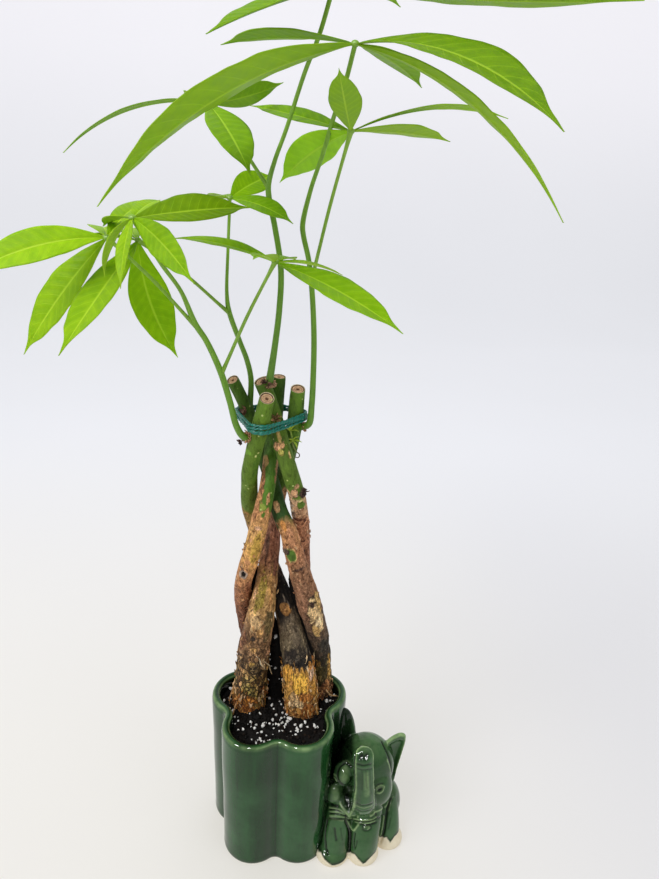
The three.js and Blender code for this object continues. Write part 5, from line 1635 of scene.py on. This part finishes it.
def backdrop_material(settings):
    """Pale paper that also shines by its own emission, graded as painted light: warm underneath
    the pot, dimmer towards +X, whiter behind it and up the wall.
    """
    nodes, place = start_material("pale_paper")
    soft = nodes.noise(place, 1.5, 2.0)
    colour = nodes.mix(soft, settings.paper, rgba("a4a5a9"))
    spot = nodes.add("ShaderNodeSeparateXYZ", {0: place})
    x, y, z = spot.outputs
    # Painted light: the paper's emission, warm under the pot, dimmer towards +X, whiter behind and
    # up the wall
    painted_glow = nodes.over((0.97, 0.92, 0.8, 1.0),
                      (nodes.ramp(x, 0.0, 0.4), (0.8, 0.78, 0.77, 1.0)),
                      (nodes.ramp(y, -0.1, 0.9), (1.04, 1.05, 1.09, 1.0)),
                      (nodes.ramp(z, 0.0, 1.3), (1.33, 1.3, 1.36, 1.0)))
    return finish_with(nodes, colour, 0.9, Emission_Color=painted_glow, Emission_Strength=0.5)


def colour_field(name, description, colour):
    return bpy.props.FloatVectorProperty(name=name, description=description, subtype="COLOR",
                                         size=4, default=rgba(colour), min=0, max=1)


def power_field(name, description, watts):
    return bpy.props.FloatProperty(name=name, description=description, default=watts, min=0,
                                   unit="POWER")


class StageSettings(bpy.types.PropertyGroup):
    paper: colour_field("Paper", "Colour of the floor and backdrop", "9a9b9f")
    lens: bpy.props.FloatProperty(
        name="Lens", description="Focal length of the camera", default=26.62, min=10, max=200)
    key_power: power_field("Key light", "Power of the main soft light", 19)
    fill_power: power_field("Fill light", "Power of the light from above", 8)
    window_power: power_field("Window lights", "Power of each light that only makes highlights",
                              15)
    sky: bpy.props.FloatProperty(
        name="Sky", description="Strength of the even light from all round", default=0.42, min=0)


class PlanterSettings(bpy.types.PropertyGroup):
    glaze: colour_field("Glaze", "Main colour of the glaze", "1c4c22")
    glaze_dark: colour_field("Pooled glaze", "Colour where the glaze is thick", "112e13")
    glaze_light: colour_field("Thin glaze", "Colour of paler clouds in the glaze", "38663c")
    # Also the colour of the painted light on the elephant's upward faces
    glaze_thin_and_lit: colour_field("Edge glaze", "Colour where the glaze thins over edges", "94b078")
    detail: bpy.props.FloatProperty(
        name="Elephant detail", description="Grid size of the elephant's skin", default=0.00068,
        min=0.0004, max=0.003, unit="LENGTH")


class SoilSettings(bpy.types.PropertyGroup):
    soil: colour_field("Soil", "Dark colour of the mix", "060505")
    soil_light: colour_field("Soil crumbs", "Light colour of the mix", "1c1612")
    perlite: colour_field("Perlite", "Colour of the white grains", "fffefa")
    perlite_count: bpy.props.IntProperty(
        name="Perlite grains", description="How many white grains lie on the soil", default=300,
        min=0, max=1000)


class TreeSettings(bpy.types.PropertyGroup):
    vein: colour_field("Side veins", "Colour of the side veins", "9cc024")
    midrib: colour_field("Midrib", "Colour of the midrib", "b6d244")
    twine: colour_field("Twine", "Colour of the tie", "037866")
    twine_dark: colour_field("Twine shade", "Colour between the tie's plies", "033a30")


class MONEYTREE_OT_stage(bpy.types.Operator):
    """Adds the pale floor and backdrop, soft lights and the camera"""

    bl_idname = "moneytree.stage"
    bl_label = "Set Stage"

    def execute(self, context):
        settings = context.scene.moneytree_stage
        scene = context.scene
        lens = bpy.data.cameras.new("Camera")
        lens.lens = settings.lens
        lens.sensor_width = 36
        lens.sensor_fit = "AUTO"
        lens.clip_start, lens.clip_end = 0.02, 50
        camera = bpy.data.objects.new("Camera", lens)
        camera.matrix_world = camera_matrix(CAMERA_PLACE, *CAMERA_TURN)
        scene.collection.objects.link(camera)
        scene.camera = camera
        mesh = floor_mesh()
        mesh.materials.append(backdrop_material(settings))
        floor = bpy.data.objects.new("backdrop", mesh)
        scene.collection.objects.link(floor)
        for name, power, share, size, place in LIGHTS:
            light = bpy.data.lights.new(name, "AREA")
            light.shape, light.size = "DISK", size
            light.energy = share * getattr(settings, power)
            lamp = bpy.data.objects.new(name, light)
            lamp.location = place
            lamp.rotation_mode = "QUATERNION"
            aim = Vector(LIT_PLACE) - Vector(place)
            lamp.rotation_quaternion = aim.to_track_quat("-Z", "Y")
            lamp.visible_glossy = power == "window_power"
            lamp.visible_diffuse = not lamp.visible_glossy
            scene.collection.objects.link(lamp)
        world = bpy.data.worlds.new("Soft sky")
        world.use_nodes = True
        sky = next(n for n in world.node_tree.nodes if n.type == "BACKGROUND")
        sky.inputs["Color"].default_value = (0.97, 0.98, 1.0, 1)
        sky.inputs["Strength"].default_value = settings.sky
        scene.world = world
        scene.view_settings.view_transform = "Standard"
        return {"FINISHED"}


class MONEYTREE_OT_pot(bpy.types.Operator):
    """Adds the glazed pot"""

    bl_idname = "moneytree.pot"
    bl_label = "Add Pot"

    def execute(self, context):
        settings = context.scene.moneytree_planter
        finish = material_once("green_glaze", glaze_material, settings)
        add_piece("pot_glazed", pot_mesh(), finish, "glazed_ceramic", "planter")
        return {"FINISHED"}


class MONEYTREE_OT_elephant(bpy.types.Operator):
    """Adds the glazed elephant that sits at the pot's side"""

    bl_idname = "moneytree.elephant"
    bl_label = "Add Elephant"

    def execute(self, context):
        settings = context.scene.moneytree_planter
        finish = material_once("green_glaze", glaze_material, settings)
        add_piece("elephant_glazed", elephant_mesh(settings), finish, "glazed_ceramic",
                  "planter")
        return {"FINISHED"}


class MONEYTREE_OT_soil(bpy.types.Operator):
    """Adds the soil, its crumbs and its perlite grains"""

    bl_idname = "moneytree.soil"
    bl_label = "Add Soil"

    def execute(self, context):
        settings = context.scene.moneytree_soil
        mix = material_once("potting_mix", soil_material, settings)
        add_piece("soil_crumbs", soil_mesh(), mix, "soil", "soil")
        rng = np.random.default_rng(5)
        places = np.vstack([on_soil(rng, CRUMBS_ON_SOIL, 1.5), on_peat(rng, CRUMBS_ON_PEAT)])
        crumbs = grains_mesh("soil_grains", rng, places, (0.4, 1.3), 0.1,
                             [(1, 1, 1), (0.5, 0.5, 0.5), (2.2, 1.7, 1.3)])
        add_piece("soil_grains", crumbs, mix, "soil")
        white = material_once("perlite", perlite_material, settings)
        places = np.vstack([clumped(rng, on_soil(rng, settings.perlite_count, 1.5), 8),
                            on_peat(rng, PERLITE_ON_PEAT)])
        grains = grains_mesh("soil_perlite", rng, places, (0.35, 1.25), 0.3, [(1, 1, 1)])
        add_piece("soil_perlite", grains, white, "soil")
        return {"FINISHED"}


class MONEYTREE_OT_trunks(bpy.types.Operator):
    """Adds the five braided trunks with their loose strips, dry scales and bare roots"""

    bl_idname = "moneytree.trunks"
    bl_label = "Add Trunks"

    def execute(self, context):
        settings = context.scene.moneytree_tree
        finish = material_once("peeling_bark", bark_material, settings)
        for name in TRUNKS:
            add_piece(f"trunk_{name}_bark", trunk_mesh(name), finish, "bark",
                      f"trunk_{name}")
        for mesh in (strips_mesh(), collars_mesh(), roots_mesh()):
            full = np.broadcast_to((0.0, 0.35, 1.0), (len(mesh.vertices), 3))
            set_tint(mesh, full, "Wear")
            add_piece(mesh.name, mesh, finish, "bark")
        return {"FINISHED"}


class MONEYTREE_OT_shoots(bpy.types.Operator):
    """Adds the green shoots with their leaves, and the young sprout"""

    bl_idname = "moneytree.shoots"
    bl_label = "Add Shoots"

    def execute(self, context):
        settings = context.scene.moneytree_tree
        green = material_once("green_stem", stem_material, settings)
        blade = material_once("leaf_blade", leaf_material, settings)
        for name in SHOOTS:
            stems, leaves = shoot_meshes(name)
            add_piece(f"{name}_stems", stems, green, "foliage", name)
            add_piece(f"{name}_leaves", leaves, blade, "foliage", name)
        add_piece("young_sprout", sprout_mesh(), green, "foliage")
        return {"FINISHED"}


class MONEYTREE_OT_tie(bpy.types.Operator):
    """Adds the teal tie round the trunks"""

    bl_idname = "moneytree.tie"
    bl_label = "Add Tie"

    def execute(self, context):
        settings = context.scene.moneytree_tree
        add_piece("tie_twine", tie_mesh(), material_once("teal_twine", twine_material, settings),
                  "twine", "tie")
        return {"FINISHED"}


SETTINGS = {
    "moneytree_stage": StageSettings,
    "moneytree_planter": PlanterSettings,
    "moneytree_soil": SoilSettings,
    "moneytree_tree": TreeSettings,
}
OPERATORS = (
    MONEYTREE_OT_stage, MONEYTREE_OT_pot, MONEYTREE_OT_elephant, MONEYTREE_OT_soil,
    MONEYTREE_OT_trunks, MONEYTREE_OT_shoots, MONEYTREE_OT_tie,
)


class MONEYTREE_PT_panel(bpy.types.Panel):
    bl_label = "Money Tree"
    bl_idname = "MONEYTREE_PT_panel"
    bl_space_type = "VIEW_3D"
    bl_region_type = "UI"
    bl_category = "Money Tree"

    def draw(self, context):
        column = self.layout.column()
        for operator in OPERATORS:
            column.operator(operator.bl_idname)
        for name, group in SETTINGS.items():
            box = self.layout.box()
            for field in group.__annotations__:
                box.prop(getattr(context.scene, name), field)


def register():
    for part in (*SETTINGS.values(), *OPERATORS, MONEYTREE_PT_panel):
        bpy.utils.register_class(part)
    for name, group in SETTINGS.items():
        setattr(bpy.types.Scene, name, bpy.props.PointerProperty(type=group))


def unregister():
    for name in SETTINGS:
        delattr(bpy.types.Scene, name)
    for part in reversed((*SETTINGS.values(), *OPERATORS, MONEYTREE_PT_panel)):
        bpy.utils.unregister_class(part)


def main():
    register()
    for operator in OPERATORS:
        getattr(bpy.ops.moneytree, operator.bl_idname.split(".")[1])()


if __name__ == "__main__":
    main()
